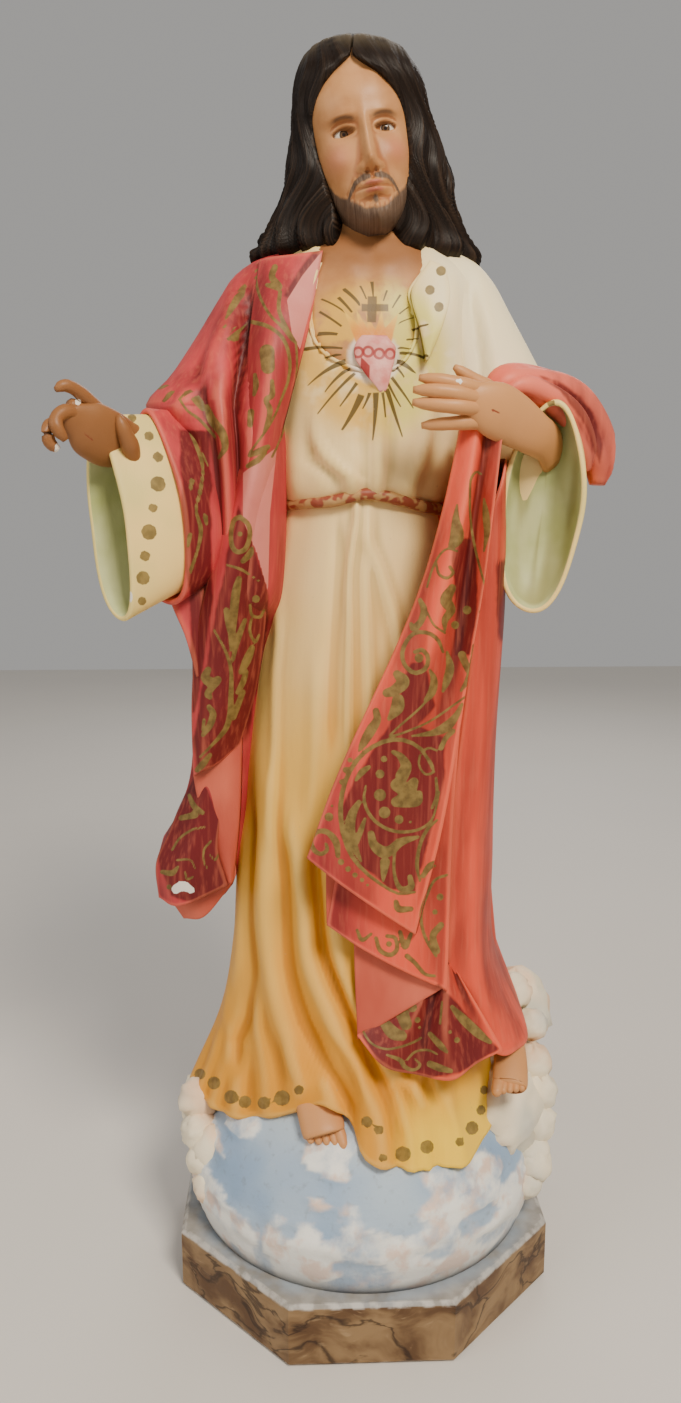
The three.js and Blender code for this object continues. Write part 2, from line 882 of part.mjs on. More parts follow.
const sleeves = {
  right: {
    sections: [
      [-112, -38, 668, 26, 50],
      [-134, -62, 662, 27, 60],
      [-160, -86, 655, 25, 66],
      [-185, -106, 647, 21, 71],
    ],
    wide: [0.75, -0.66],
    depth: 40,
    sag: 0.22,
    lean: 0.09,
  },
  left: {
    sections: [
      [140, -30, 668, 24, 48],
      [134, -58, 664, 29, 63],
      [124, -92, 655, 30, 76],
    ],
    wide: [0.96, -0.28],
    depth: 28,
    sag: 0.04,
    lean: -0.08,
  },
  mantleCuff: {
    sections: [
      [-112, -38, 668, 30, 54],
      [-134, -62, 661, 31, 64],
      [-154, -82, 655, 29.5, 70],
    ],
    wide: [0.75, -0.66],
    depth: 18,
    sag: 0.22,
    lean: 0.09,
  },
};

// The mantle's rolled folds over the left forearm, as [x, y, z, radius].
const rolls = [
  [
    [83, -92, 733, 6],
    [96, -88, 744, 12],
    [124, -66, 744, 14],
    [153, -52, 736, 14],
    [171, -46, 714, 14],
    [177, -46, 692, 13],
    [176, -48, 673, 6],
  ],
  [
    [90, -98, 732, 5],
    [105, -92, 741, 9],
    [128, -80, 735, 10],
    [149, -70, 721, 10],
    [161, -62, 700, 9],
    [166, -56, 684, 3],
  ],
  [[97, -60, 729, 18], [128, -42, 732, 24], [155, -34, 716, 25], [168, -36, 691, 18]],
];

const hands = {
  right: {
    palm: [
      [-156, -78, 690, 13],
      [-168, -92, 698, 15],
      [-174, -98, 700, 17],
      [-181, -108, 702, 19.5],
      [-188, -118, 706, 19.5],
      [-194, -126, 710, 18],
      [-199, -132, 713, 13],
      [-204, -138, 715, 8],
      [-207, -142, 716, 3.5],
    ],
    flat: [0.55, 0.1, 0.83],
    thin: 0.42,
    fingers: [
      [
        [-186, -116, 720, 5.4],
        [-192, -126, 727, 5],
        [-198, -136, 733, 4.4],
        [-204, -142, 735, 4],
        [-209, -146, 732, 3],
      ],
      [[-194, -124, 718, 5.4], [-199, -132, 722, 4.8], [-204, -136, 724, 4.4]],
      [
        [-196, -126, 714, 5.4],
        [-203, -138, 719, 5],
        [-209, -145, 715, 4.6],
        [-209, -148, 708, 4.4],
        [-204, -146, 700, 3.6],
      ],
      [
        [-204, -126, 706, 5],
        [-212, -138, 711, 4.6],
        [-216, -144, 707, 4.4],
        [-215, -144, 699, 4.2],
        [-210, -142, 694, 3.6],
      ],
      [
        [-168, -100, 687, 6],
        [-168, -110, 698, 6.4],
        [-171, -116, 708, 5.2],
        [-174, -118, 718, 3.4],
      ],
    ],
  },
  left: {
    palm: [
      [138, -64, 692, 13],
      [130, -78, 702, 14],
      [117, -92, 708, 15.5],
      [99, -104, 717, 18.5],
      [84, -113, 723, 19],
      [71, -119, 727, 14],
      [64, -121, 728, 9],
      [58, -122, 729, 4],
    ],
    flat: [0.38, 0, 0.92],
    thin: 0.45,
    fingers: [
      [[82, -112, 734, 5.6], [62, -122, 738, 5.2], [46, -124, 741, 4.6], [30, -122, 743, 3.4]],
      [[80, -114, 728, 5.6], [59, -125, 732, 5.4], [43, -127, 734, 4.8], [26, -124, 735, 3.6]],
      [[79, -114, 723, 5.6], [59, -125, 724, 5.4], [43, -126, 725, 4.8], [26, -122, 727, 3.6]],
      [[83, -110, 715, 5.4], [63, -118, 714, 5], [48, -119, 713, 4.4], [33, -116, 712, 3.4]],
      [[89, -104, 733, 6.4], [77, -110, 739, 5.6], [65, -113, 745, 4.6], [55, -116, 751, 3.2]],
    ],
  },
};

function hand({ palm, flat, thin, fingers }) {
  return [
    tubeForm(palm, 10, 5, flat, thin),
    ...fingers.map((finger) => tubeForm(finger, 5, 3)),
  ];
}

// A foot on the globe: the instep, then five toes side by side.
const feet = [
  {
    ankle: [-47, -60, 192],
    instep: [-42, -84, 184],
    ball: [-36, -103, 170],
    tips: [-32, -114, 159],
    bigToe: 1,
    spread: 6.4,
  },
  {
    ankle: [120, -56, 222],
    instep: [118, -76, 212],
    ball: [115, -92, 201],
    tips: [112, -103, 196],
    bigToe: -1,
    spread: 5.2,
  },
];
const toeRadius = 3.3;

function foot({ ankle, instep, ball, tips, bigToe, spread }) {
  const toes = [-2, -1, 0, 1, 2].map((place) => {
    const big = place * bigToe === 2;
    const radius = big ? toeRadius * 1.35 : toeRadius;
    const reach = big ? 1 : 0.9 - 0.05 * Math.abs(place - 2 * bigToe);
    const shift = place * spread;
    const root = [ball[0] + shift * 0.9, ball[1], ball[2]];
    const end = mix(root, [tips[0] + shift, tips[1], tips[2]], reach);
    const guides = [
      [...root, radius * 1.2],
      [...mix(root, end, 0.6), radius],
      [...end, radius * 0.7],
    ];
    return tubeForm(guides, 5, 2);
  });
  const width = 2.6 * spread;
  const guides = [
    [...ankle, width * 0.9],
    [...instep, width],
    [...ball, width * 1.05],
    [...mix(ball, tips, 0.3), width * 0.9],
  ];
  return [tubeForm(guides, 8, 4, [1, 0, 0], 0.55), ...toes];
}

// The flap of the collar that turns back on the left breast.
function collarFlap() {
  const guides = [
    [[44, -58, 832], [30, -70, 808], [36, -77, 780], [40, -79, 760]],
    [[50, -58, 830], [42, -73, 806], [44, -80, 780], [41, -80, 760]],
    [[56, -56, 828], [58, -70, 806], [52, -78, 784], [43, -79, 762]],
  ];
  return slabForm(across(guides), backward(14), 2, 4);
}

// The flaming heart, low on the breast at the bottom of the neckline.
function heart() {
  const guides = [
    [3, -75, 777, 9],
    [3, -75, 770, 14.3],
    [4, -75, 763, 14.7],
    [6, -78, 753, 10.4],
    [8, -79, 745, 6],
    [9, -79, 738, 2.2],
  ];
  return tubeForm(guides, 10, 5, [1, 0, 0], 0.3);
}

function statue() {
  const openBlouse = blouse().subtract(necklineBlock());
  const forms = [
    openBlouse,
    globe(),
    ...puffs.map(puff),
    skirt(),
    chest(),
    neck(),
    belt(),
    head(),
    hair(),
    mantleBack(),
    armDrape(),
    ...Object.values(falls).map(fall),
    upperArm(),
    ...Object.values(sleeves).map(bellSleeve),
    ...rolls.map((roll) => tubeForm(roll, 6, 7, [0, -1, 0])),
    ...Object.values(hands).flatMap(hand),
    ...feet.flatMap(foot),
    collarFlap(),
    heart(),
  ];
  return forms.reduce((cast, form) => cast.add(form));
}

// The octagonal plinth with a small bevel round its top.
function plinth() {
  const corners = Array.from({ length: 8 }, (_, i) => radians(22.5 + 45 * i));
  const cornerRadius = plinthAcrossFlats / 2 / Math.cos(radians(22.5)) - plinthTopBevel;
  const outline = new THREE.Shape(
    corners.map((a) => new THREE.Vector2(cornerRadius * Math.cos(a), cornerRadius * Math.sin(a))),
  );
  const geometry = new THREE.ExtrudeGeometry(outline, {
    depth: plinthHeight - 2 * plinthTopBevel,
    bevelThickness: plinthTopBevel,
    bevelSize: plinthTopBevel,
    bevelSegments: 1,
  });
  geometry.translate(0, 0, plinthTopBevel);
  return solidOf(geometry);
}

function meshOf(name, solid, material) {
  const { vertProperties, triVerts } = solid.getMesh();
  const geometry = new THREE.BufferGeometry();
  geometry.setAttribute("position", new THREE.BufferAttribute(new Float32Array(vertProperties), 3));
  geometry.setIndex(new THREE.BufferAttribute(new Uint32Array(triVerts), 1));
  geometry.computeVertexNormals();
  const mesh = new THREE.Mesh(geometry, material);
  mesh.name = name;
  return mesh;
}

const group = new THREE.Group();
group.add(meshOf("statue", statue(), paint.statue));
group.add(meshOf("plinth", plinth(), paint.plinth));

export default group;
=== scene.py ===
# %% [markdown]
# # A painted plaster statue on a globe of clouds
#
# The real statue is a hollow plaster cast. The figure, its globe and the clouds come out of one
# mould and are painted by hand, and the cast stands on an octagonal plinth painted as marble.
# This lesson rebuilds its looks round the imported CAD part: fine meshes stand for the cast, which
# has no joints in it, and the plinth keeps its CAD shape.

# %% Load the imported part
from functools import partialmethod

import bpy
import numpy as np
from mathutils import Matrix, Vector


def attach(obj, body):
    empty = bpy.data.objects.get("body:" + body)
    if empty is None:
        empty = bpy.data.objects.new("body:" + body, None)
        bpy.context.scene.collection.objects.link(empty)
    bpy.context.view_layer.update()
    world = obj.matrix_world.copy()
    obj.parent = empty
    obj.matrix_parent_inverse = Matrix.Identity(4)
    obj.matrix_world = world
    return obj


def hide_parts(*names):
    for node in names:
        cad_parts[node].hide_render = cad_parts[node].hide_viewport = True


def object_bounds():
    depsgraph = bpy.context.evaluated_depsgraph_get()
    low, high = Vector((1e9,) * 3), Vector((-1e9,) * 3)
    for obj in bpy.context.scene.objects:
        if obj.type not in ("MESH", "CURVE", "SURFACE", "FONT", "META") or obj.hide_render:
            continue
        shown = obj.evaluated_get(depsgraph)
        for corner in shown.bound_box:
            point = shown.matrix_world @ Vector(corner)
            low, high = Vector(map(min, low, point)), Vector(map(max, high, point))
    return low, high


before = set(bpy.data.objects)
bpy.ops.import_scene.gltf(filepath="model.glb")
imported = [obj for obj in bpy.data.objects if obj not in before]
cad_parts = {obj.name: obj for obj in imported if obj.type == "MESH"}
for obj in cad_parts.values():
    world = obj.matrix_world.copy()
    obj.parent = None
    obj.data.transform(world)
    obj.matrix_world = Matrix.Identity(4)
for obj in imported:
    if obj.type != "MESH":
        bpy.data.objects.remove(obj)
cad_low, cad_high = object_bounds()
print("nodes", sorted(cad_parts), "height", round(cad_high.z, 4))

# %% [markdown]
# ## The drawing
#
# A mould maker models from a drawing with few firm points and lets the clay run smoothly between
# them. The code does the same: a handful of guide points, and one smooth curve through them.
# The points count in thousandths of the statue's height from the floor, so that a number can be
# compared with any other by eye, and `placed` turns them into metres at the end.

# %% Smooth curves through guide values
CAST_HEIGHT = 0.866
DRAWN_FOOT, DRAWN_TOP = 54, 1000
PLINTH_TOP = 0.0493
UNIT = CAST_HEIGHT / (DRAWN_TOP - DRAWN_FOOT)


def placed(points):
    """Drawing to metres: the drawing's foot goes to the plinth's top, and each unit is UNIT."""
    return points * UNIT + np.array([0, 0, PLINTH_TOP - DRAWN_FOOT * UNIT])


def through(guides, t):
    """A smooth curve through guide values: between two guides the cubic that also looks at the
    guide before and the one after. t is 0 at the first and 1 at the last, and may be an array."""
    guides = np.asarray(guides, float)
    single = guides.ndim == 1
    guides = guides.reshape(len(guides), -1)
    last = len(guides) - 1
    place = np.clip(np.asarray(t, float), 0, 1) * last
    start = np.minimum(place.astype(int), last - 1)
    f = (place - start)[..., None]
    padded = np.vstack([2 * guides[0] - guides[1], guides, 2 * guides[-1] - guides[-2]])
    before, here, ahead, after = (padded[start + k] for k in range(4))
    value = 0.5 * (
        (-f + 2 * f**2 - f**3) * before
        + (2 - 5 * f**2 + 3 * f**3) * here
        + (f + 4 * f**2 - 3 * f**3) * ahead
        + (-(f**2) + f**3) * after
    )
    return value[..., 0] if single else value


def keyed(rows, key):
    """The same curve, with each guide given as (key, value...), read at the keys."""
    rows = np.asarray(rows, float)
    rows = rows if rows[0, 0] < rows[-1, 0] else rows[::-1]
    keys = rows[:, 0]
    key = np.clip(key, keys[0], keys[-1])
    start = np.clip(np.searchsorted(keys, key, side="right") - 1, 0, len(keys) - 2)
    f = (key - keys[start]) / (keys[start + 1] - keys[start])
    values = rows[:, 1] if rows.shape[1] == 2 else rows[:, 1:]
    return through(values, (start + f) / (len(keys) - 1))


def unit(vectors):
    """Vectors brought to length 1."""
    return vectors / np.linalg.norm(vectors, axis=-1, keepdims=True)


def bell(distance, width):
    """1 at no distance, fading smoothly to 0 over a few widths."""
    return np.exp(-((distance / width) ** 2))


def ease(value, low, high):
    """0 below low, 1 above high, with a soft S between them."""
    t = np.clip((value - low) / (high - low), 0, 1)
    return t * t * (3 - 2 * t)


def ripple(points, size, seed, waves=12):
    """A soft irregular swell of about -1 to 1: plane waves in seeded directions, added up, each
    about size long."""
    draw = np.random.default_rng(seed)
    ways = unit(draw.normal(size=(waves, 3)))
    ways *= 2 * np.pi / (size * draw.uniform(0.7, 1.5, (waves, 1)))
    phases = draw.uniform(0, 2 * np.pi, waves)
    return np.sin(points @ ways.T + phases).sum(-1) * (1.6 / waves**0.5) / 1.6


def spans(*stops):
    """Places along a line, even in each stretch: start, steps, stop, steps, stop, ..."""
    stretches = zip(stops[0:-2:2], stops[1::2], stops[2::2])
    runs = [np.linspace(a, b, n, endpoint=False) for a, n, b in stretches]
    return np.concatenate(runs + [[stops[-1]]])


def circle(steps):
    """Turns right round, without the last that would be the first again."""
    return np.linspace(0, 2 * np.pi, steps, endpoint=False)


def ball_grid(lift, turn):
    """Points of a ball of radius 1 at each lift above its middle and each turn from the front:
    sine of the turn across, cosine to the front, both by the cosine of the lift."""
    level = np.cos(lift)
    return np.stack([level * np.sin(turn), -level * np.cos(turn), np.sin(lift) + 0 * turn], -1)


print("one unit of the drawing is", round(UNIT * 1000, 4), "mm")

# %% [markdown]
# ## Where the camera stood
#
# The painter's ornament is easiest to copy where it is seen, in the picture. The octagon of the
# plinth gives the place of the camera and its lens, so every point of the surface knows which
# pixel of the picture it falls on. A stroke can then be drawn in pixels and still sits on the
# cloth, seen from any side.

# %% The camera of the picture
IMAGE = (681, 1403)
FOCAL_PIXELS = 1054
EYE = np.array([-51.5, -862.4, 662.6])
YAW, PITCH = np.radians(2.2), np.radians(10.9)
AHEAD = np.array([np.sin(YAW) * np.cos(PITCH), np.cos(YAW) * np.cos(PITCH), -np.sin(PITCH)])
RIGHT = np.array([np.cos(YAW), -np.sin(YAW), 0])
UPWARD = np.cross(RIGHT, AHEAD)


def pixels(points):
    """Drawing points to pixels of the picture: along the right and down, over the distance."""
    away = points - EYE
    depth = away @ AHEAD
    across = IMAGE[0] / 2 + FOCAL_PIXELS * (away @ RIGHT) / depth
    down = IMAGE[1] / 2 - FOCAL_PIXELS * (away @ UPWARD) / depth
    return np.stack([across, down], -1)


print("the top of the hair falls on pixel", pixels(np.array([-8.0, 6, 999])).round())

# %% [markdown]
# ## Closed forms
#
# Every part of the cast is a closed form: a pot with level rings, a tube along a path or a fall of
# cloth with a front and a back. They run into one another as clay pressed onto clay does. Each is
# a grid of points that is worked out at once, and the quads between them follow from the grid's
# size alone. Sheets get a rounded rim, because no edge of a plaster cast is sharp.

# %% Grids of points to closed forms
forms = []


def halved(quads, triangles):
    """All faces as triangles: each quad in two halves, then the triangles."""
    return np.vstack([quads[:, [0, 1, 2]], quads[:, [0, 2, 3]], triangles])


def corners(points, faces):
    """The first, second and third corners of triangles."""
    return (points[faces[:, k]] for k in range(3))


def keep(name, points, quads, triangles, finish, **marks):
    """Keeps a closed form, turned so that its signed volume is positive: the sum over its faces
    of the box product of three corners."""
    a, b, c = corners(points, halved(quads, triangles))
    if np.einsum("ij,ij->", a, np.cross(b, c)) < 0:
        quads, triangles = quads[:, ::-1], triangles[:, ::-1]
    if not isinstance(finish, np.ndarray):
        finish = np.full(len(quads) + len(triangles), finish, dtype=object)
    form = {"name": name, "points": points, "quads": quads, "triangles": triangles}
    forms.append({**form, "finish": finish, "marks": marks})


def grid_quads(rows, columns, closed):
    """Corner numbers of the quads of a grid, row by row, joined round where it is closed."""
    number = np.arange(rows * columns).reshape(rows, columns)
    right = np.roll(number, -1, axis=1) if closed else number[:, 1:]
    left = number if closed else number[:, :-1]
    return np.stack([c.ravel() for c in (left[:-1], right[:-1], right[1:], left[1:])], -1)


def round_form(name, grid, finish, **marks):
    """Closes a grid of rings with a point in the middle of its first and of its last ring."""
    rows, around = grid.shape[:2]
    points = np.vstack([grid.reshape(-1, 3), grid[0].mean(0), grid[-1].mean(0)])
    first = np.arange(around)
    last = first + (rows - 1) * around
    low = np.stack([np.roll(first, -1), first, np.full(around, rows * around)], -1)
    high = np.stack([last, np.roll(last, -1), np.full(around, rows * around + 1)], -1)
    quads = grid_quads(rows, around, closed=True)
    if isinstance(finish, np.ndarray):
        labels = np.repeat(finish, around), np.repeat([finish[0], finish[-1]], around)
        finish = np.concatenate(labels).astype(object)
    for key, value in marks.items():
        marks[key] = np.concatenate([value.ravel(), [value[0].mean(), value[-1].mean()]])
    keep(name, points, quads, np.vstack([low, high]), finish, **marks)


def edge_lines(lines, length, rim):
    """Places from 0 to 1 for the lines of a sheet, even or as given, with three more at each
    rounded edge."""
    close = np.array([0, 0.13, 0.45, 1]) * rim / length
    lines = np.linspace(0, 1, lines) if np.isscalar(lines) else lines
    between = close[-1] + (1 - 2 * close[-1]) * lines
    return np.concatenate([close[:-1], between, 1 - close[-2::-1]])


def across(curves, u, v):
    """A surface through guide curves: each curve is read at v, and then the values across at u."""
    lines = np.stack([through(curve, v) for curve in curves])
    grid = through(lines.reshape(len(curves), -1), u)
    return grid.reshape(len(u), len(v), 3).transpose(1, 0, 2)


def run_length(grid, axis):
    """The length walked along a grid's lines up to each point."""
    steps = np.linalg.norm(np.diff(grid, axis=axis), axis=-1)
    start = np.zeros_like(np.take(steps, [0], axis=axis))
    return np.concatenate([start, np.cumsum(steps, axis=axis)], axis=axis)


def sheet_form(name, curves, inward, size, finish, rim=2.0, back_finish=None):
    """A fall of cloth: the surface through the curves, curled back over its rim by a quarter
    circle, with sides and a plain back moved by inward."""
    wide = max(np.linalg.norm(np.subtract(curves[0][k], curves[-1][k])) for k in (0, -1))
    tall = np.linalg.norm(np.subtract(curves[0][0], curves[0][-1]))
    u, v = edge_lines(size[0], max(wide, 12), rim), edge_lines(size[1], tall, rim)
    grid = across(curves, u, v)
    along_u, along_v = run_length(grid, 1), run_length(grid, 0)
    near_side = np.minimum(along_u, along_u[:, -1:] - along_u)
    near = np.minimum(near_side, np.minimum(along_v, along_v[-1:] - along_v))
    curl = rim * (1 - np.sqrt(1 - np.clip(1 - near / rim, 0, 1) ** 2))
    grid = grid + unit(inward(grid) - grid) * curl[..., None]
    rows, columns = grid.shape[:2]
    middle = inward(grid[:, columns // 2])
    ends = [inward(grid[:, 0]), middle, inward(grid[:, -1]), inward(grid[0]), inward(grid[-1])]
    points = np.vstack([grid.reshape(-1, 3), *ends])
    count = rows * columns
    number = np.arange(count).reshape(rows, columns)
    left, mid, right = (np.arange(rows) + count + k * rows for k in range(3))
    edge = np.arange(1, columns - 1) + count + 3 * rows
    top = np.concatenate([[left[0]], edge, [right[0]]])
    foot = np.concatenate([[left[-1]], edge + columns, [right[-1]]])

    def strip(a, b):
        return np.stack([a[:-1], a[1:], b[1:], b[:-1]], -1)

    def fan(a, b, tip):
        return np.stack([a, b, np.full(columns - 1, tip)], -1)

    front = grid_quads(rows, columns, closed=False)
    borders = (left, number[:, 0]), (number[:, -1], right), (number[0], top), (foot, number[-1])
    quads = np.vstack([front, *(strip(*pair) for pair in (*borders, (mid, left), (right, mid)))])
    fans = np.vstack([fan(top[:-1], top[1:], mid[0]), fan(foot[1:], foot[:-1], mid[-1])])
    used = np.unique(np.concatenate([quads.ravel(), fans.ravel()]))
    renumber = np.zeros(len(points), int)
    renumber[used] = np.arange(len(used))
    behind = [back_finish or finish] * (len(quads) - len(front) + len(fans))
    labels = np.array([finish] * len(front) + behind, dtype=object)
    keep(name, points[used], renumber[quads], renumber[fans], labels)


def tube(guides, around, along, flat=(0, 0, 1), squeeze=1.0, swell=None):
    """A round profile carried along guide points (x, y, z, radius). flat is the direction in which
    the profile is widest, squeeze what is left across it, and swell(v, turn) a factor."""
    v = np.linspace(0, 1, along + 1)
    line = through(guides, v)
    way = through(guides, np.minimum(v + 0.02, 1)) - through(guides, np.maximum(v - 0.02, 0))
    way = unit(way[:, :3])
    flat = np.asarray(flat, float)
    wide = unit(flat - way * (way @ flat)[:, None])
    thin = np.cross(way, wide)
    turn = circle(around)
    radius = line[:, 3, None] * (1 if swell is None else swell(v[:, None], turn[None]))
    return (
        line[:, None, :3]
        + wide[:, None] * (radius * np.cos(turn))[..., None]
        + thin[:, None] * (radius * squeeze * np.sin(turn))[..., None]
    )


def upright(rings, turn):
    """Level rings (height, middle x, middle y, half width to the left, to the right, reach to the
    front, to the back) read at the turns from the front: sine across, cosine to the front."""
    z, x, y, left, right, front, back = (rings[..., k, None] for k in range(7))
    side, facing = np.sin(turn), np.cos(turn)
    width = np.where(side < 0, left, right)
    reach = np.where(facing > 0, front, back)
    return np.stack([x + width * side, y - reach * facing, z + 0 * side], -1)


def carved(grid, turn, depth):
    """Moves an upright form's points outwards by a depth, along each point's turn."""
    turn = turn + 0 * depth
    out = np.stack([np.sin(turn), -np.cos(turn), 0 * turn], -1)
    return grid + out * depth[..., None]


def fold_depth(folds, grid, facing, fade=25):
    """The relief of folds (rise, width, (height, x), ...): a bell across each path, fading past
    its two ends."""
    x, z = grid[..., 0], grid[..., 2]
    depth = np.zeros_like(z)
    for rise, width, *path in folds:
        top, bottom = path[0][0], path[-1][0]
        over = np.maximum(np.maximum(z - top, bottom - z), 0)
        depth += rise * bell(x - keyed(path, z), width) * bell(over, fade)
    return depth * np.clip(facing * 3, 0, 1)


def degrees(*stops):
    """Turns round a closed ring, given as spans in degrees, the last stop being the first again."""
    return np.radians(spans(*stops)[:-1])


def backward(depth):
    """Moves a point straight back."""
    return lambda points: points + np.array([0, depth, 0])


def towards(x, share):
    """Moves a point a share of the way to the upright line at x, 10 behind the middle."""
    level = np.array([1 - share, 1 - share, 1])
    return lambda points: points * level + np.array([x * share, 10 * share, 0])


# %% [markdown]
# ## Globe and clouds
#
# The figure stands on a globe with the sky painted on it and curls of cloud in low relief. Round
# its right side and its back stand puffs of cloud. A sphere would do for each, but a modeller
# works such puffs with a loop tool, so a seeded swell breaks up every one of them.

# %% The globe and its puffs of cloud
GLOBE_MIDDLE, GLOBE_RADIUS, GLOBE_RISE = 85, 150, 115


def globe():
    """A sphere squeezed to GLOBE_RISE upwards, with low curls of cloud that vanish at its foot."""
    low = np.arcsin((DRAWN_FOOT - GLOBE_MIDDLE) / GLOBE_RISE)
    v = np.concatenate([np.linspace(0, 0.72, 42), np.linspace(0.78, 1, 4)])[:, None]
    lift = low + (np.pi / 2 - low) * v * 0.98
    turn = degrees(-180, 11, -105, 78, 105, 11, 180)[None]
    ball = ball_grid(lift, turn) * GLOBE_RADIUS
    curls = ripple(ball, 66, 3) + 0.6 * ripple(ball, 28, 4) - 0.25
    curls = curls + 0.9 * bell(v - 0.12, 0.16)
    curls = curls + 0.7 * bell(np.abs(turn) - 1.35, 0.5) * bell(v - 0.3, 0.3)
    lumps = 1 - np.abs(ripple(ball, 24, 5))
    relief = (2.0 + 2.4 * lumps) * ease(curls, 0.0, 0.6) * np.minimum(1, 5 * v)
    radius = (GLOBE_RADIUS + relief * np.cos(lift)) * np.cos(lift)
    height = GLOBE_MIDDLE + (GLOBE_RISE + relief) * np.sin(lift)
    grid = np.stack([radius * np.sin(turn), -radius * np.cos(turn), height + 0 * turn], -1)
    round_form("globe", grid, "sky", cloud=ease(curls, -0.1, 0.55) + 0 * turn)


PUFFS = [
    (112,14,152,54,52), (112,-34,142,42,48), (151,-34,128,16,18), (145,-54,100,16,17),
    (146,46,196,33,38), (78,88,146,58,56), (-6,104,138,56,46), (-86,78,128,54,52), (-137,-4,138,25,30),
    (-128,-44,112,20,26),
]
SMALL_PUFFS = [
    (150,-20,176,16,18), (153,-28,154,17,18), (150,-38,130,17,17), (145,-49,108,16,16),
    (137,-59,88,15,14), (136,20,224,20,16), (152,0,202,15,14), (-142,-22,150,18,18),
    (-141,-35,128,17,17), (-136,-46,108,16,16), (-130,-59,90,15,14),
]


def puff(number, x, y, z, radius, height):
    """A ball (radius across, height upwards) swollen and creased by two seeded ripples."""
    steps = 26 if radius > 30 else 22
    lift = np.linspace(-0.48, 0.48, steps * 2 // 3)[:, None] * np.pi
    ball = ball_grid(lift, circle(steps)[None]) * np.array([1, -1, 1])
    lumps = ripple(ball * radius + number, min(30, 0.8 * radius + 4), 20 + number)
    share = 1.04 - 0.21 * (1 - np.abs(lumps)) ** 3 + 0.02 * ripple(ball * radius, 12, 40 + number)
    grid = np.array([x, y, z]) + ball * share[..., None] * np.array([radius, radius, height])
    round_form(f"puff {number}", grid, "cloud", cloud=ease(np.abs(lumps), 0.02, 0.4))


globe()
for number, place in enumerate(PUFFS + SMALL_PUFFS):
    puff(number, *place)
print("globe and", len(PUFFS + SMALL_PUFFS), "puffs")

# %% [markdown]
# ## The tunic's skirt
#
# The tunic hangs in long upright folds and breaks over the feet. The folds are drawn as paths down
# the front, ridges and furrows, and added to a form with level rings. At the hem the rings are
# drawn out to where the cloth really ends, which isn't level: it rises over the one foot and
# falls in two points.

# %% The skirt with its folds
WAIST, SKIRT_MIDDLE = 664, -2
SKIRT_RINGS = [
    (150,112,122,95), (122,106,108,86), (110,102,98,78), (105,99,92,72), (101,97,88,66), (97,95,85,62),
    (90,88,81,57), (80,80,74,52), (71,71,65,47),
]
HEM = [
    (-180,0,95,175), (-135,-100,75,165), (-100,-148,20,160), (-80,-147,-20,160), (-60,-128,-48,156),
    (-42,-104,-66,158), (-28,-76,-82,169), (-18,-54,-90,180), (-10,-34,-102,190), (-3,-14,-112,176),
    (3,-4,-124,158), (14,24,-129,150), (30,62,-121,146), (42,88,-102,146), (55,104,-72,152),
    (70,116,-35,160), (100,118,30,190), (140,80,80,180), (180,0,95,175),
]
SKIRT_FOLDS = [
    (6, 2.6, (650,-9), (604,-15), (567,-15), (500,-16)), (6, 5, (632,-1), (607,9), (573,19), (540,26)),
    (4.5, 4, (604,-3), (567,-2), (510,0)), (-4, 5, (620,-22), (560,-26), (500,-28)),
    (3, 6, (640,-58), (617,-62), (587,-68)), (4, 4, (560,-68), (525,-71), (466,-72), (409,-74)),
    (3, 6, (520,-40), (450,-42), (390,-50)),
    (8, 9, (435,-77), (356,-82), (314,-81), (272,-75), (241,-67), (204,-53)),
    (-8, 6, (399,-92), (329,-96), (276,-93), (240,-99), (215,-108)),
    (6, 6, (380,-104), (320,-105), (281,-106), (250,-116), (221,-129)),
    (-6, 5, (290,-114), (250,-126), (225,-136)),
    (-8, 7, (375,-66), (294,-63), (254,-52), (218,-32), (191,-16)),
    (8, 8, (400,-58), (350,-50), (305,-47), (264,-32), (228,-12), (192,4), (158,8)),
    (-9, 6, (374,-42), (313,-36), (273,-20), (242,-4), (201,16), (160,24)),
    (6, 7, (330,-26), (291,-18), (229,8), (174,30)), (4, 5, (222,22), (189,49)),
    (4, 6, (225,44), (182,65), (154,76)), (4, 6, (245,-90), (205,-84), (181,-83)),
    (4, 6, (232,-117), (190,-109)), (-3, 6, (225,-98), (180,-96)), (-3, 6, (225,-70), (190,-68)),
    (4, 3.5, (236,34), (196,38), (150,46)), (-3.5, 4, (228,46), (176,50), (152,54)),
    (4, 4, (230,62), (190,64), (160,70)),
]
RUFFLE = {"rise": 2.6, "waves": 23, "reach": 46}


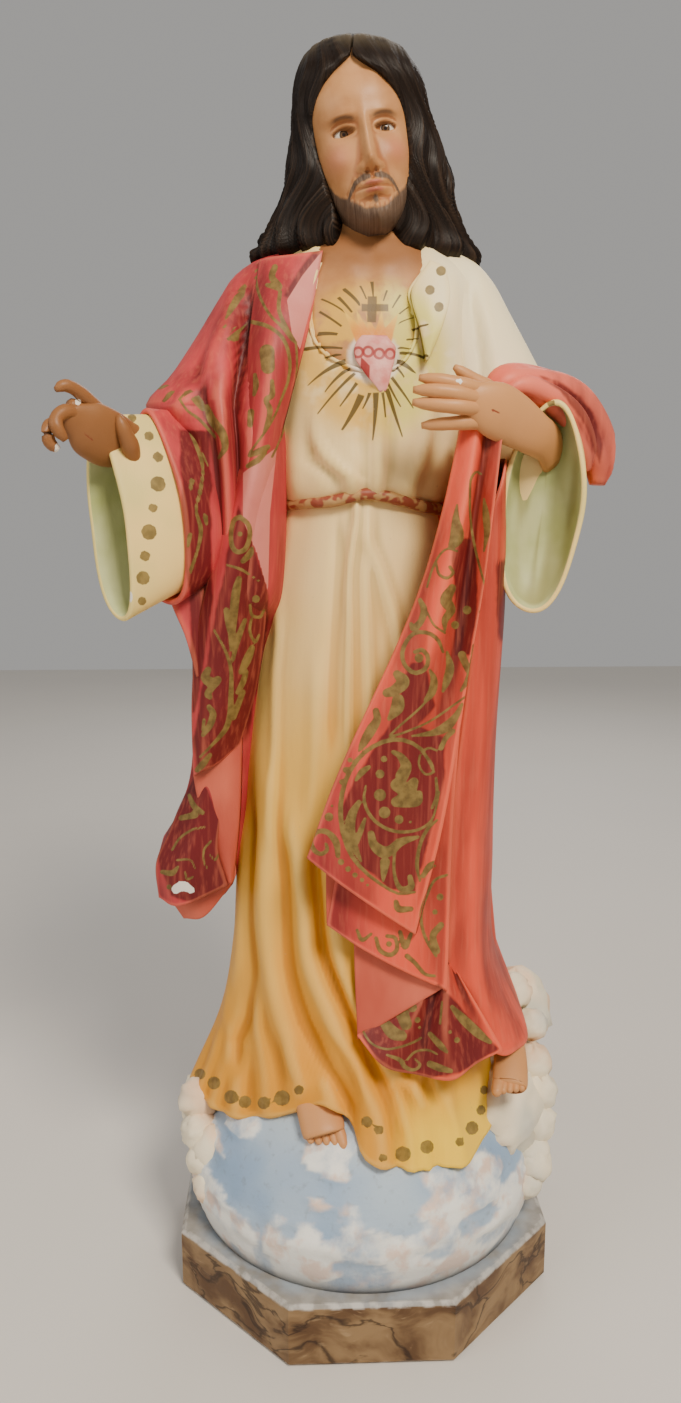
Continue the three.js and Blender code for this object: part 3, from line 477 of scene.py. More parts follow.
def skirt():
    """Rings from hem to waist, drawn out at the foot by the fifth power of the way down."""
    turn = degrees(-180, 7, -112, 136, 118, 7, 180)[None]
    v = spans(0, 30, 0.16, 84, 1)[:, None]
    edge = keyed(HEM, np.degrees(turn))
    z = edge[..., 2] + (WAIST - edge[..., 2]) * v
    widths = through(SKIRT_RINGS, v) + np.zeros(z.shape + (4,))
    side, facing = np.sin(turn), np.cos(turn)

    def level(w):
        x = SKIRT_MIDDLE + np.where(side < 0, w[..., 0], w[..., 1]) * side
        return np.stack([x, -np.where(facing > 0, w[..., 2], w[..., 3]) * facing], -1)

    drawn = level(np.broadcast_to(np.array(SKIRT_RINGS[0], float), z.shape + (4,)))
    flare = ((1 - v) ** 5)[..., None]
    grid = np.concatenate([level(widths) + (edge[..., :2] - drawn) * flare, z[..., None]], -1)
    above = grid[..., 2] - edge[..., 2]
    ruffle = RUFFLE["rise"] * np.exp(-above / RUFFLE["reach"])
    depth = fold_depth(SKIRT_FOLDS, grid, facing)
    depth = depth + ruffle * np.sin(RUFFLE["waves"] * turn + 1.5 * np.sin(5 * turn) + above / 30)
    out = np.stack([side * 0.5 + 0 * depth, -facing + 0 * depth, 0 * depth], -1)
    grid = grid + out * depth[..., None]
    under = grid[:1] * np.array([0.97, 0.97, 1]) + np.array([0, 0, -2.5])
    inner = grid[:1] * np.array([0.9, 0.9, 1])
    round_form("skirt", np.concatenate([inner, under, grid]), "tunic")


skirt()
print("the tunic's skirt has", len(SKIRT_FOLDS), "folds")

# %% [markdown]
# ## The blouse, the neckline and the belt
#
# Above the belt the tunic bags out. Its neckline is cut in a U down to the heart, with the chest a
# little deeper. The cast has no real gap there, so the cloth is pressed in behind the neckline and
# the chest shows, and a thin round cord along the edge is the turned hem of the cloth.

# %% Blouse, chest, neck and belt
BLOUSE_RINGS = [
    (655,-2,0,64,64,60,42), (662,-2,0,73,73,72,47), (672,-2,0,77,78,78,49), (686,-2,0,79,80,79,50),
    (708,-2,0,80,82,76,52), (738,0,0,81,85,76,56), (770,0,0,82,86,75,58), (800,0,0,86,90,70,57),
    (824,0,0,84,90,60,50), (842,0,-2,64,68,48,42), (856,0,-6,44,46,36,34), (870,-1,-10,29,29,26,28),
]
BLOUSE_FOLDS = [
    (4.5, 4, (735,8), (700,6), (672,5)), (-4, 5, (712,-5), (690,-4), (672,-3)),
    (-4, 5, (715,19), (690,18), (672,15)), (4, 5, (706,-40), (690,-28), (676,-12)),
    (-3, 5, (690,-44), (680,-30), (668,-22)), (3.5, 5, (715,44), (695,40), (672,30)),
    (-3, 6, (700,54), (680,48), (666,42)), (3, 6, (740,-48), (705,-54), (676,-54)),
    (4, 6, (800,62), (760,66), (720,66)), (-3, 6, (790,52), (750,56), (710,58)),
]
OVERHANG = [(-80,-2), (-46,-3), (-25,2), (4,4), (33,1), (51,-4), (80,-2)]
NECKLINE = [
    (-42,882), (-36,831), (-43,802), (-42,782), (-34,767), (-18,757), (2,752), (21,757), (32,772),
    (34,790), (29,808), (40,825), (44,882),
]
CLOTH_STEP, PRESSED = 2.5, 7
CHEST_FOOT = 730
CHEST_FORMS = [
    (2, 8, (836,-28), (829,-12)), (2, 8, (836,28), (829,12)), (-2.5, 5, (838,1), (822,1)),
    (-1.4, 3, (815,1), (778,1)),
]


def inside(ring, x, z):
    """Distance into a closed ring of points, positive inside: the nearest edge, and the sign from
    how often a level ray crosses the ring."""
    a, b = ring, np.roll(ring, -1, axis=0)
    p = np.stack([x, z], -1)[..., None, :]
    t = np.clip(((p - a) * (b - a)).sum(-1) / ((b - a) ** 2).sum(-1), 0, 1)[..., None]
    near = np.linalg.norm(p - a - (b - a) * t, axis=-1).min(-1)
    crosses = (a[:, 1] > p[..., 1]) != (b[:, 1] > p[..., 1])
    slope = (b[:, 0] - a[:, 0]) * (p[..., 1] - a[:, 1]) / (b[:, 1] - a[:, 1] + 1e-9) + a[:, 0]
    odd = (crosses & (p[..., 0] < slope)).sum(-1) % 2
    return np.where(odd == 1, near, -near)


def blouse():
    """Level rings with folds, pressed in by PRESSED behind the neckline."""
    turn = degrees(-180, 5, -100, 66, 100, 5, 180)
    rings = through(BLOUSE_RINGS, spans(0, 24, 0.36, 34, 1))
    grid = upright(rings, turn)
    low = keyed(OVERHANG, grid[..., 0]) * np.cos(turn).clip(0)
    grid[..., 2] += low * ease(-grid[..., 2], -712, -670)
    depth = fold_depth(BLOUSE_FOLDS, grid, np.cos(turn))
    front = np.cos(turn) > 0
    neckline = through(NECKLINE, np.linspace(0, 1, 90))
    pressed = PRESSED * ease(inside(neckline, grid[..., 0], grid[..., 2]), -0.5, 2.5) * front
    round_form("blouse", carved(grid, turn, depth - pressed), "tunic")


def chest():
    """The blouse's upper rings, a cloth's step deeper, and deeper still where the cloth hides it."""
    rings = np.array([r for r in BLOUSE_RINGS if r[0] > CHEST_FOOT], float)
    rings[:, 3:] -= CLOTH_STEP
    turn = degrees(-180, 3, -80, 40, 80, 3, 180)
    grid = upright(through(rings, np.linspace(0, 1, 26)), turn)
    depth = fold_depth(CHEST_FORMS, grid, np.cos(turn), fade=6)
    neckline = through(NECKLINE, np.linspace(0, 1, 90))
    outside = -inside(neckline, grid[..., 0], grid[..., 2])
    covered = PRESSED * ease(outside, 1.5, 6) * (np.cos(turn) > 0)
    round_form("chest", carved(grid, turn, depth - covered), "skin")


def on_blouse(x, z):
    """The y of the blouse's face at x and z: the ring's ellipse solved for its front."""
    ring = keyed(BLOUSE_RINGS, z)
    width = np.where(x - ring[..., 0] < 0, ring[..., 2], ring[..., 3])
    side = np.clip((x - ring[..., 0]) / width, -0.98, 0.98)
    return ring[..., 1] - ring[..., 4] * np.sqrt(1 - side**2)


def neck_edge():
    """The cord along the neckline, lying on the blouse's face."""
    line = through(NECKLINE[1:-1], np.linspace(0, 1, 40))
    y = on_blouse(line[:, 0], line[:, 1])
    guides = np.stack([line[:, 0], y + 0.6, line[:, 1], 0 * y + 1.4], -1)
    round_form("neck edge", tube(guides, 7, 80, flat=(0, -1, 0)), "tunic")


def neck():
    guides = [(0, -10, 830, 26), (1, -13, 850, 27), (0, -14, 868, 26), (-2, -14, 890, 27)]
    round_form("neck", tube(guides, 30, 14, (1, 0, 0), 0.95), "skin")


BELT = {"left": 73, "right": 73, "front": 71, "back": 50, "thick": 4.5, "inset": 12}
BELT["heights"] = [655, 659, 661, 666, 662, 656, 652]


def belt():
    """A round cord pulled in under the blouse, a little lower at its two ends."""
    turn = degrees(-180, 5, -95, 76, 95, 5, 180)[None]
    roll = np.linspace(np.pi, 0, 9)[:, None]
    reach = np.where(np.cos(turn) > 0, BELT["front"], BELT["back"])
    width = np.where(np.sin(turn) < 0, BELT["left"], BELT["right"])
    twist = 0.5 * np.sin(40 * turn + 2 * roll)
    out = (BELT["thick"] + twist) * np.sin(roll)
    inset = np.where(np.abs(np.sin(roll)) < 1e-6, BELT["inset"], 0)
    x = SKIRT_MIDDLE + (width + out - inset) * np.sin(turn)
    y = -(reach + out - inset) * np.cos(turn)
    z = through(BELT["heights"], 0.5 + np.sin(turn) / 2) - BELT["thick"] * np.cos(roll)
    round_form("belt", np.stack([x, y, z], -1), "belt")


blouse()
chest()
neck_edge()
neck()
belt()

# %% [markdown]
# ## The head
#
# The face is a general one, on the proportions that every drawing book gives: the eyes half way
# down the head and one eye apart, the nose a third below them, the mouth a third of the rest. The
# head is a form with level rings, and each feature is a soft bump or hollow on its front. The
# short beard and the moustache are more relief, carved into strands.

# %% The face and the beard
HEAD_MIDDLE = np.array([-3.0, -18, 915])
HEAD_TILT = np.radians(9)
HEAD_RINGS = [
    (-64,8,36,8), (-57,18,44,16), (-46,26,46,26), (-34,31,46,36), (-20,34.5,45,43), (-6,36.5,44,47),
    (10,37.5,44,51), (26,37.5,45,53), (42,35,39,52), (56,29,32,46), (67,19,17,34), (74,8,4,18),
]
EYE_X, EYE_Z, EYE_RADIUS = 15, 4, 8.5
FEATURES = [
    (-5.5,EYE_X,EYE_Z,8.5,6), (2.6,15,13.5,11,3.5), (6.5,0,0,3.6,12), (8,0,-14,4.4,8),
    (9.5,0,-21,4.8,4.8), (4.5,6.3,-23.5,3,3), (-2.5,3,-26.5,1.8,1.3), (-1.6,0,-29.5,1.8,2.4),
    (4,0,-36,13,7), (3.6,0,-34.2,8,1.7), (-2.8,0,-36.8,9,0.8), (4.2,0,-39.6,6.5,2.1), (-2,0,-44,7,1.8),
    (5,0,-55,11,8), (2.4,21,-14,10,8),
]
BEARD_TOP = [(0,-49), (7,-48), (13,-43), (19,-38.5), (25,-33), (30,-24), (34,-12), (40,-6)]
MOUSTACHE = [(0,1.6), (5,2.7), (11,2.9), (17,2.3), (23,1.4)]


def in_head(points):
    """From the head's own frame to the drawing: tipped to its left, then moved into place."""
    c, s = np.cos(HEAD_TILT), np.sin(HEAD_TILT)
    x, y, z = points[..., 0], points[..., 1], points[..., 2]
    return HEAD_MIDDLE + np.stack([x * c - z * s, y, x * s + z * c], -1)


def head():
    """Rings with a flat-fronted oval section, plus the features as bells mirrored about x 0."""
    turn = degrees(-180, 6, -80, 8, -44, 54, 44, 8, 80, 6, 180)[None]
    level = spans(0, 8, 0.16, 22, 0.34, 10, 0.46, 20, 0.57, 10, 0.75, 7, 1)[:, None]
    z, width, front, back = (through(HEAD_RINGS, level)[..., k] for k in range(4))
    facing, x = np.cos(turn), width * np.sin(turn)
    rise = 0 * x
    for height, fx, fz, wide, tall in FEATURES:
        away = np.minimum(np.abs(x - fx), np.abs(x + fx))
        rise = rise + height * bell(away, wide) * bell(z - fz, tall)
    side = np.abs(x) - EYE_X
    upper = EYE_Z + 2.2 - 0.035 * side**2
    lower = EYE_Z - 2.4 + 0.02 * side**2
    window = ease(9.5 - np.abs(side), 0, 3)
    opening = ease(np.minimum(upper - z, z - lower), -0.6, 0.6)
    rise = rise - 3.4 * opening * ease(8.5 - np.abs(side), 0, 2)
    rise = rise + (1.3 * bell(z - upper - 1.3, 1.5) + 0.7 * bell(z - lower + 1.2, 1.3)) * window
    rise = rise - 0.9 * bell(z - upper - 3.6, 0.9) * window
    jaw = 0.95 * ease(keyed(BEARD_TOP, np.abs(x)) - z, -2.5, 6)
    patch = 0.8 * bell(x, 2.8) * bell(z + 45, 3.5)
    droop = -29.6 - 0.012 * x**2 - 0.085 * (np.abs(x) - 9).clip(0) ** 2
    lip_hair = bell(z - droop, keyed(MOUSTACHE, np.abs(x))) * ease(23 - np.abs(x), 0, 5)
    lip_hair = lip_hair * ease(np.abs(x), 0.2, 2)
    beard = np.maximum.reduce([jaw, patch, lip_hair]).clip(0, 1) * (facing > -0.2)
    strands = np.sin(x * 1.7 + 0.12 * z * np.sign(x) + 1.5 * np.sin(z / 5))
    curls = np.sin(x * 0.62 + 1.6 * np.sin(z / 5.0) + z / 9)
    rise = rise + beard * (1.9 + 0.5 * strands + 0.7 * curls)
    reach = front * np.sqrt(np.abs(facing)) * 0.35 + front * facing * 0.65
    y = np.where(facing > 0, -reach - rise * np.clip(facing * 2, 0, 1), -back * facing)
    lips = bell(x, 8.5) * np.maximum(bell(z + 34.6, 1.8), bell(z + 39.4, 2.2))
    blush = bell(np.abs(x) - 21, 9) * bell(z + 12, 9)
    brow_line = 12.2 - 0.022 * (np.abs(x) - 16) ** 2
    brow = bell(z - brow_line, 1.3) * ease(26 - np.abs(x), 0, 7) * ease(np.abs(x), 4, 9)
    crease = bell(z - upper - 0.2, 0.9) * window
    marks = {"beard": beard, "lips": ease(lips, 0.35, 0.75), "blush": blush, "strand": x * 1.0}
    marks["brow"] = np.maximum(brow, 0.9 * crease)
    round_form("head", in_head(np.stack([x, y, z + 0 * x], -1)), "skin", **marks)


def eyeball(side):
    """A ball behind the lids; its paint is worked out from where it lies."""
    lift = np.linspace(-0.47, 0.47, 14)[:, None] * np.pi
    middle = np.array([side * EYE_X, EYE_RADIUS - 35, EYE_Z])
    ball = ball_grid(lift, circle(22)[None]) * EYE_RADIUS
    round_form(f"eye {side}", in_head(middle + ball), "eye")


head()
for side in (-1, 1):
    eyeball(side)

# %% [markdown]
# ## The hair
#
# Long hair frames the face and falls on the shoulders. It is a form with level rings again, left
# open at the face: each ring runs from one edge of the opening round the back to the other, and
# then in behind the face. Locks are waves across the ring that twist on their way down.

# %% Hair with locks and a parting
HAIR_RINGS = [
    (838,-2,3,80,87,34,60,34), (846,-2,-2,81,86,42,64,30), (860,-3,-5,71,77,44,66,20),
    (880,-3,-7,60,69,45,67,10), (902,-3,-9,55,66,46,66,4), (924,-4,-11,51,58,48,65,0),
    (942,-5,-12,49,52,49,62,0), (958,-6,-12,47,49,50,57,0), (972,-7,-9,43,45,46,51,0),
    (985,-8,-5,35,38,36,41,0), (994,-8,-2,21,24,20,27,0), (998.5,-8,0,9,12,9,13,0),
]
HAIR_OPENING = [
    (836,-28,29), (847,-24,27), (864,-26,23), (881,-31,26), (894,-36,30), (907,-41,32), (928,-43,30),
    (941,-38,23), (950,-33,14), (957,-27,5), (962,-21,-5), (967,-15,-12), (974,-13.5,-12),
    (1000,-10.5,-9),
]
HAIR_INSIDE = [(836,0.3), (940,0.45), (957,0.66), (968,0.72), (980,0.85), (1000,0.97)]
LOCKS = 9


def hair():
    """Rings from the right edge of the opening round the back to the left edge, with locks as
    waves of the turn that drift with the height, and the rest of the ring hidden in the head."""
    rings = through(HAIR_RINGS, np.linspace(0, 1, 110))
    level, x, y, left, right, front, back, sink = (rings[:, k, None] for k in range(8))
    opening = keyed(HAIR_OPENING, level[:, 0])
    start = np.arcsin(np.clip((opening[:, 1, None] - x) / right, -1, 1))
    stop = 2 * np.pi + np.arcsin(np.clip((opening[:, 0, None] - x) / left, -1, 1))
    deep = keyed(HAIR_INSIDE, level)
    t = spans(0, 46, 0.2, 36, 0.8, 46, 1)[None]
    turn_shown = start + t * (stop - start)
    wave = keyed([(836, 0.075), (880, 0.055), (930, 0.034), (990, 0.012)], level)
    drift = 2.4 * np.sin(level / 11 + 2 * turn_shown) + level / 30
    bands = 2 * LOCKS * turn_shown + drift
    strands = 0.55 * np.sin(3 * bands + level / 9) + 0.35 * np.sin(7 * bands + level / 6)
    locks = 1 + wave * (np.cos(bands) + 0.3 * strands) + 0.006 * strands
    locks = locks - 0.03 * bell(np.minimum(t, 1 - t), 0.01)
    wall = deep + (1 - deep) * np.array([0.35, 0.75]) * 0.97
    half = np.linspace(0.5, 1, 4)[None]
    gap = stop - 2 * np.pi
    before, after = gap + half * (start - gap), stop + (half[:, :-1] - 0.5) * (start - gap)
    turns = [before, start + 0 * wall, turn_shown, stop + 0 * wall, after]
    turn = np.concatenate(turns, axis=1)
    shares = [deep + 0 * half, wall, locks, wall[:, ::-1], deep + 0 * half[:, :-1]]
    share = np.concatenate(shares, axis=1)
    across = np.where(np.sin(turn) < 0, left, right) * share * np.sin(turn)
    reach = np.where(np.cos(turn) > 0, front, back) * share * np.cos(turn)
    height = level - sink * np.clip(-np.cos(turn), 0, None)
    strand = turn * 60 + 3.2 * (2.4 * np.sin(level / 11 + 2 * turn) + level / 30)
    round_form("hair", np.stack([x + across, y - reach, height], -1), "hair", strand=strand)


hair()
print("locks", 2 * LOCKS)

# %% [markdown]
# ## The mantle
#
# The mantle hangs from the shoulders round the back, falls over the right arm to a corner beside
# the knee, and is drawn across the body and over the left arm, where it falls in a cascade.
# The round parts are forms with rings, and the falls are sheets through guide curves.

# %% Mantle round the back and over the arm
MANTLE_RINGS = [
    (226,0,0,86,126,50,90), (300,0,0,90,116,50,94), (380,0,0,100,108,50,92), (460,0,0,112,103,50,90),
    (540,0,0,116,103,50,86), (620,0,0,116,104,50,82), (700,0,0,114,112,46,78), (770,0,0,110,104,40,74),
    (820,0,0,90,80,36,66), (848,0,0,56,46,20,44),
]
ARM_DRAPE_RINGS = [
    (326,-142,-14,12,12,12,12), (343,-136,-14,32,26,26,20), (378,-134,-12,36,34,30,26),
    (435,-112,-6,28,24,34,32), (535,-104,-8,35,30,42,40), (566,-100,-14,42,34,48,48),
    (592,-99,-34,39,36,48,58), (650,-97,-42,38,36,48,64), (696,-98,-42,38,38,48,64),
    (716,-103,-36,48,42,52,60), (732,-107,-28,60,46,55,58), (755,-98,-18,50,50,56,58),
    (786,-82,-10,46,52,50,52), (815,-68,-4,42,50,42,46), (836,-58,-2,34,44,32,36),
    (848,-48,0,16,22,16,18),
]
ARM_DRAPE_FOLDS = [
    (-16, 6, (790,-90), (705,-95), (640,-96), (572,-104)),
    (-7, 7, (742,-124), (716,-116), (660,-110), (600,-108)), (5, 8, (800,-98), (750,-118), (728,-136)),
    (5, 8, (735,-108), (690,-103), (620,-102)),
]


def mantle_back():
    """Rings with nine folds that open downwards behind, and finer folds over them."""
    turn = degrees(0, 4, 62, 46, 180, 46, 298, 4, 360)
    rings = through(MANTLE_RINGS, np.linspace(0, 1, 30))
    grid = upright(rings, turn)
    behind = np.clip(-np.cos(turn) * 2, 0, 1)
    fade = np.clip((840 - grid[..., 2]) / 300, 0.1, 1)
    swing = np.sin(9 * turn + grid[..., 2] / 90)
    depth = behind * fade * (5 * swing + 1.6 * np.sin(21 * turn + grid[..., 2] / 60 + 1))
    round_form("mantle back", carved(grid, turn, depth), "mantle")


def arm_drape():
    turn = degrees(-180, 8, -95, 22, -36, 44, 18, 20, 80, 6, 180)
    rings = through(ARM_DRAPE_RINGS, spans(0, 14, 0.333, 110, 0.667, 18, 1))
    grid = upright(rings, turn)
    depth = fold_depth(ARM_DRAPE_FOLDS, grid, np.cos(turn))
    back = np.clip(-np.cos(turn) * 2, 0, 1) * np.clip((grid[..., 2] - 340) / 60, 0, 1)
    depth = depth + back * 2.5 * np.sin(7 * turn + grid[..., 2] / 70)
    round_form("arm drape", carved(grid, turn, depth), "mantle")


mantle_back()
arm_drape()

# %% Falls of the mantle
FALLS = {
    "front band": (
        [[(-80,-34,836), (-87,-60,779), (-90,-70,733), (-95,-76,686), (-112,-80,629), (-128,-76,570),
          (-135,-68,511), (-136,-62,449)],
         [(-70,-46,836), (-74,-76,778), (-77,-86,733), (-84,-90,688), (-97,-92,633), (-110,-88,579),
          (-121,-78,517), (-128,-68,455)],
         [(-55,-50,837), (-62,-76,779), (-68,-84,734), (-75,-86,691), (-85,-86,638), (-92,-80,585),
          (-102,-72,520), (-117,-62,459)],
         [(-33,-49,840), (-44,-66,782), (-57,-71,735), (-67,-72,696), (-73,-70,643), (-76,-64,589),
          (-84,-58,525), (-99,-54,473)]],
        backward(34), (44,300), "mantle",
    ),
    "cuff flap": (
        [[(-138,-64,650), (-150,-78,602), (-146,-80,584), (-137,-80,561), (-130,-76,530)],
         [(-118,-60,650), (-122,-72,602), (-122,-74,584), (-122,-74,561), (-122,-70,530)]],
        backward(14), (6,16), "mantle",
    ),
    "lower lining": (
        [[(-133,-50,508), (-137,-54,453), (-128,-54,403), (-113,-50,356)],
         [(-113,-54,509), (-115,-58,454), (-112,-57,404), (-109,-53,357)],
         [(-97,-50,508), (-98,-54,469), (-101,-54,411), (-107,-50,358)]],
        backward(36), (16,50), "lining",
    ),
    "hanging corner": (
        [[(-138,-24,540), (-140,-36,450), (-157,-40,402), (-170,-42,372), (-169,-42,342)],
         [(-122,-36,560), (-125,-52,470), (-136,-58,405), (-148,-60,368), (-150,-56,340)],
         [(-108,-36,560), (-110,-52,470), (-114,-56,425), (-118,-58,388), (-111,-54,356)]],
        backward(30), (40,92), "mantle",
    ),
    "corner lining": (
        [[(-166,-30,350), (-162,-34,340), (-150,-34,320)],
         [(-140,-38,352), (-138,-42,338), (-132,-40,324)],
         [(-106,-34,366), (-106,-38,358), (-110,-38,350)]],
        backward(18), (24,20), "lining",
    ),
    "cascade front": (
        [[(62,-104,714), (49,-110,655), (35,-112,605), (15,-114,555), (-25,-117,467), (-49,-121,402)],
         [(73,-112,715), (63,-121,655), (50,-124,600), (35,-124,540), (8,-124,450), (-24,-124,382)],
         [(82,-104,715), (73,-106,655), (67,-106,600), (57,-110,540), (33,-119,440), (5,-123,360)],
         [(92,-110,714), (85,-118,655), (79,-118,600), (70,-118,540), (54,-118,430), (33,-121,340)]],
        towards(75, 0.36), (72,388), "mantle",
    ),
    "cascade lining": (
        [[(-30,-94,440), (-34,-102,390), (-34,-110,346)], [(0,-94,440), (0,-102,385), (-2,-110,340)],
         [(34,-94,440), (34,-102,380), (34,-110,338)]],
        towards(40, 0.25), (24,24), "lining",
    ),
    "cascade middle": (
        [[(10,-94,500), (-18,-101,420), (-34,-111,345)], [(30,-96,520), (8,-103,420), (-7,-113,326)],
         [(50,-98,530), (36,-106,430), (24,-116,309)], [(70,-102,540), (62,-111,430), (59,-117,292)]],
        towards(60, 0.42), (64, spans(0, 12, 0.66, 60, 1)), "mantle",
    ),
    "cascade lower lining": (
        [[(-13,-98,350), (-12,-106,300), (-10,-113,251)], [(24,-98,350), (24,-106,310), (24,-112,272)],
         [(58,-98,380), (58,-106,330), (58,-112,293)]],
        towards(40, 0.25), (24,26), "lining",
    ),
    "cascade foot": (
        [[(40,-98,294), (15,-106,272), (-11,-115,256)], [(50,-104,304), (28,-118,262), (9,-128,237)],
         [(55,-100,308), (44,-112,262), (36,-119,224)], [(60,-108,310), (58,-122,264), (62,-130,225)],
         [(64,-98,306), (78,-108,266), (84,-116,231)], [(68,-100,302), (90,-108,266), (106,-110,238)]],
        towards(60, 0.3), (80,54), "mantle",
    ),
    "right side": (
        [[(80,-100,640), (72,-104,540), (62,-104,440), (60,-102,350), (62,-98,290), (86,-92,240)],
         [(92,-100,670), (90,-102,560), (84,-101,450), (82,-98,350), (86,-98,290), (106,-96,226)],
         [(99,-84,690), (101,-80,588), (97,-78,480), (96,-76,380), (98,-76,300), (122,-82,222)],
         [(104,-44,690), (108,-38,588), (105,-36,480), (106,-34,380), (110,-36,290), (138,-52,219)],
         [(98,20,690), (104,20,580), (104,20,450), (108,22,350), (118,24,290), (138,0,232)]],
        towards(30, 0.4), (30,100), "mantle",
    ),
}
LINED_BEHIND = ("cascade front", "cascade middle", "cascade foot", "right side")

for name, (curves, inward, size, finish) in FALLS.items():
    back_finish = "lining" if name in LINED_BEHIND else None
    sheet_form(name, curves, inward, size, finish, back_finish=back_finish)

COLLAR_FLAP = [
    [(44,-58,832), (30,-70,808), (36,-77,780), (40,-79,760)],
    [(50,-58,830), (42,-73,806), (44,-80,780), (41,-80,760)],
    [(56,-56,828), (58,-70,806), (52,-78,784), (43,-79,762)],
]
sheet_form("collar flap", COLLAR_FLAP, backward(14), (12, 34), "tunic", rim=1.6)
print("falls of cloth", len(FALLS) + 1)

# %% [markdown]
# ## Arms and sleeves
#
# The tunic's sleeves are bells: an outer wall, a thick round rim and an inner wall that goes up
# into the dark. Over the left forearm the mantle is rolled in three thick folds.

# %% Sleeves and rolled folds
UPPER_ARM_RINGS = [
    (641,120,-26,26,24,26,20), (645,119,-22,34,33,34,28), (655,118,-20,40,40,40,34),
    (690,118,-22,44,46,46,40), (720,110,-18,44,46,46,42), (762,92,-10,44,43,44,44),
    (802,76,-4,42,37,42,44), (826,66,0,38,34,36,40), (842,56,0,30,28,26,32), (852,46,0,14,14,12,16),
]


def upper_arm():
    turn = degrees(-180, 6, -100, 30, 100, 6, 180)
    grid = upright(through(UPPER_ARM_RINGS, np.linspace(0, 1, 40)), turn)
    depth = fold_depth([(-8, 5, (800, 78), (765, 82), (735, 84))], grid, np.cos(turn))
    round_form("upper arm", carved(grid, turn, depth), "tunic")


SLEEVES = {
    "right sleeve": {
        "sections": [(-112,-38,668,26,50), (-134,-62,662,27,60), (-160,-86,655,25,66),
         (-185,-106,647,21,71)],
        "wide": (0.75, -0.66), "sag": 0.22, "lean": 0.09, "depth": 40, "finish": ("sleeve", "green"),
    },
    "left sleeve": {
        "sections": [(140,-30,668,24,48), (134,-58,664,29,63), (124,-92,655,30,76)],
        "wide": (0.96, -0.28), "sag": 0.04, "lean": -0.08, "depth": 28, "finish": ("sleeve", "green"),
    },
    "mantle cuff": {
        "sections": [(-112,-38,668,30,54), (-134,-62,661,31,64), (-154,-82,655,29.5,70)],
        "wide": (0.75, -0.66), "sag": 0.22, "lean": 0.09, "depth": 18, "finish": ("mantle", "lining"),
    },
}
SLEEVE_WALL = 4


def bell_sleeve(name, sections, wide, sag, lean, depth, finish):
    """Sections (x, y, z, half width, half height) carried from root to rim, half a circle over
    the rim's thickness, and back as a bowl: a quarter of an ellipse that closes in the dark."""
    sections = np.array(sections, float)
    rim, way = sections[-1], unit((sections[-2] - sections[-1])[:3])

    def into(distance, thinner, share=1.0):
        return np.concatenate([rim[:3] + way * distance, (rim[3:] - thinner) * share])[None]

    outer = through(sections, np.linspace(0, 1, 34))
    over, back = np.linspace(0, np.pi, 6)[1:], np.linspace(0, 1.5, 12)[1:]
    lip = [into(-1.6 * np.sin(a), SLEEVE_WALL * (1 - np.cos(a)) / 2) for a in over]
    bowl = [into(depth * np.sin(a), SLEEVE_WALL, np.cos(a) ** 0.45) for a in back]
    rows = np.vstack([outer, *lip, *bowl])
    turn = circle(96)
    x, y, z, width, height = (rows[:, k, None] for k in range(5))
    side = width * np.sin(turn) * (1 - sag * np.cos(turn))
    tip = lean * height * -np.cos(turn)
    grid = np.stack([x + wide[0] * side + tip, y + wide[1] * side, z + height * np.cos(turn)], -1)
    split = len(outer) + 3
    labels = [finish[0]] * split + [finish[1]] * (len(rows) - 1 - split)
    out = unit(grid - grid.mean(axis=1, keepdims=True))
    place = np.arange(len(rows))
    reach = np.clip(1 - np.abs(place - len(outer)) / 16, 0, 1)[:, None]
    grid = grid + out * (1.2 * reach * np.sin(5 * turn + 0.8))[..., None]
    pleat = np.clip((place - split) / 4, 0, 1)[:, None] * np.abs(np.sin(turn))
    grid = grid + way * (1.6 * pleat * np.sin(side / 3.2))[..., None]
    round_form(name, grid, np.array(labels, dtype=object))


ROLLS = [
    [(83,-92,733,6), (96,-88,744,12), (124,-66,744,14), (153,-52,736,14), (171,-46,714,14),
     (177,-46,692,13), (176,-48,673,6)],
    [(90,-98,732,5), (105,-92,741,9), (128,-80,735,10), (149,-70,721,10), (161,-62,700,9),
     (166,-56,684,3)],
    [(97,-60,729,18), (128,-42,732,24), (155,-34,716,25), (168,-36,691,18)],
]


def creased(v, turn):
    """Creases that run slanting round a roll of cloth, sharp below and soft above."""
    crease = 1 - np.abs(np.sin(1.5 * turn + 4 * v + 0.6))
    return 1 + 0.05 * np.sin(3 * turn + 7 * v) - 0.16 * crease**5


upper_arm()
for name, sleeve in SLEEVES.items():
    bell_sleeve(name, **sleeve)
for number, roll in enumerate(ROLLS):
    round_form(f"roll {number}", tube(roll, 26, 36, (0, -1, 0), swell=creased), "mantle")
print("sleeves", len(SLEEVES), "rolls", len(ROLLS))
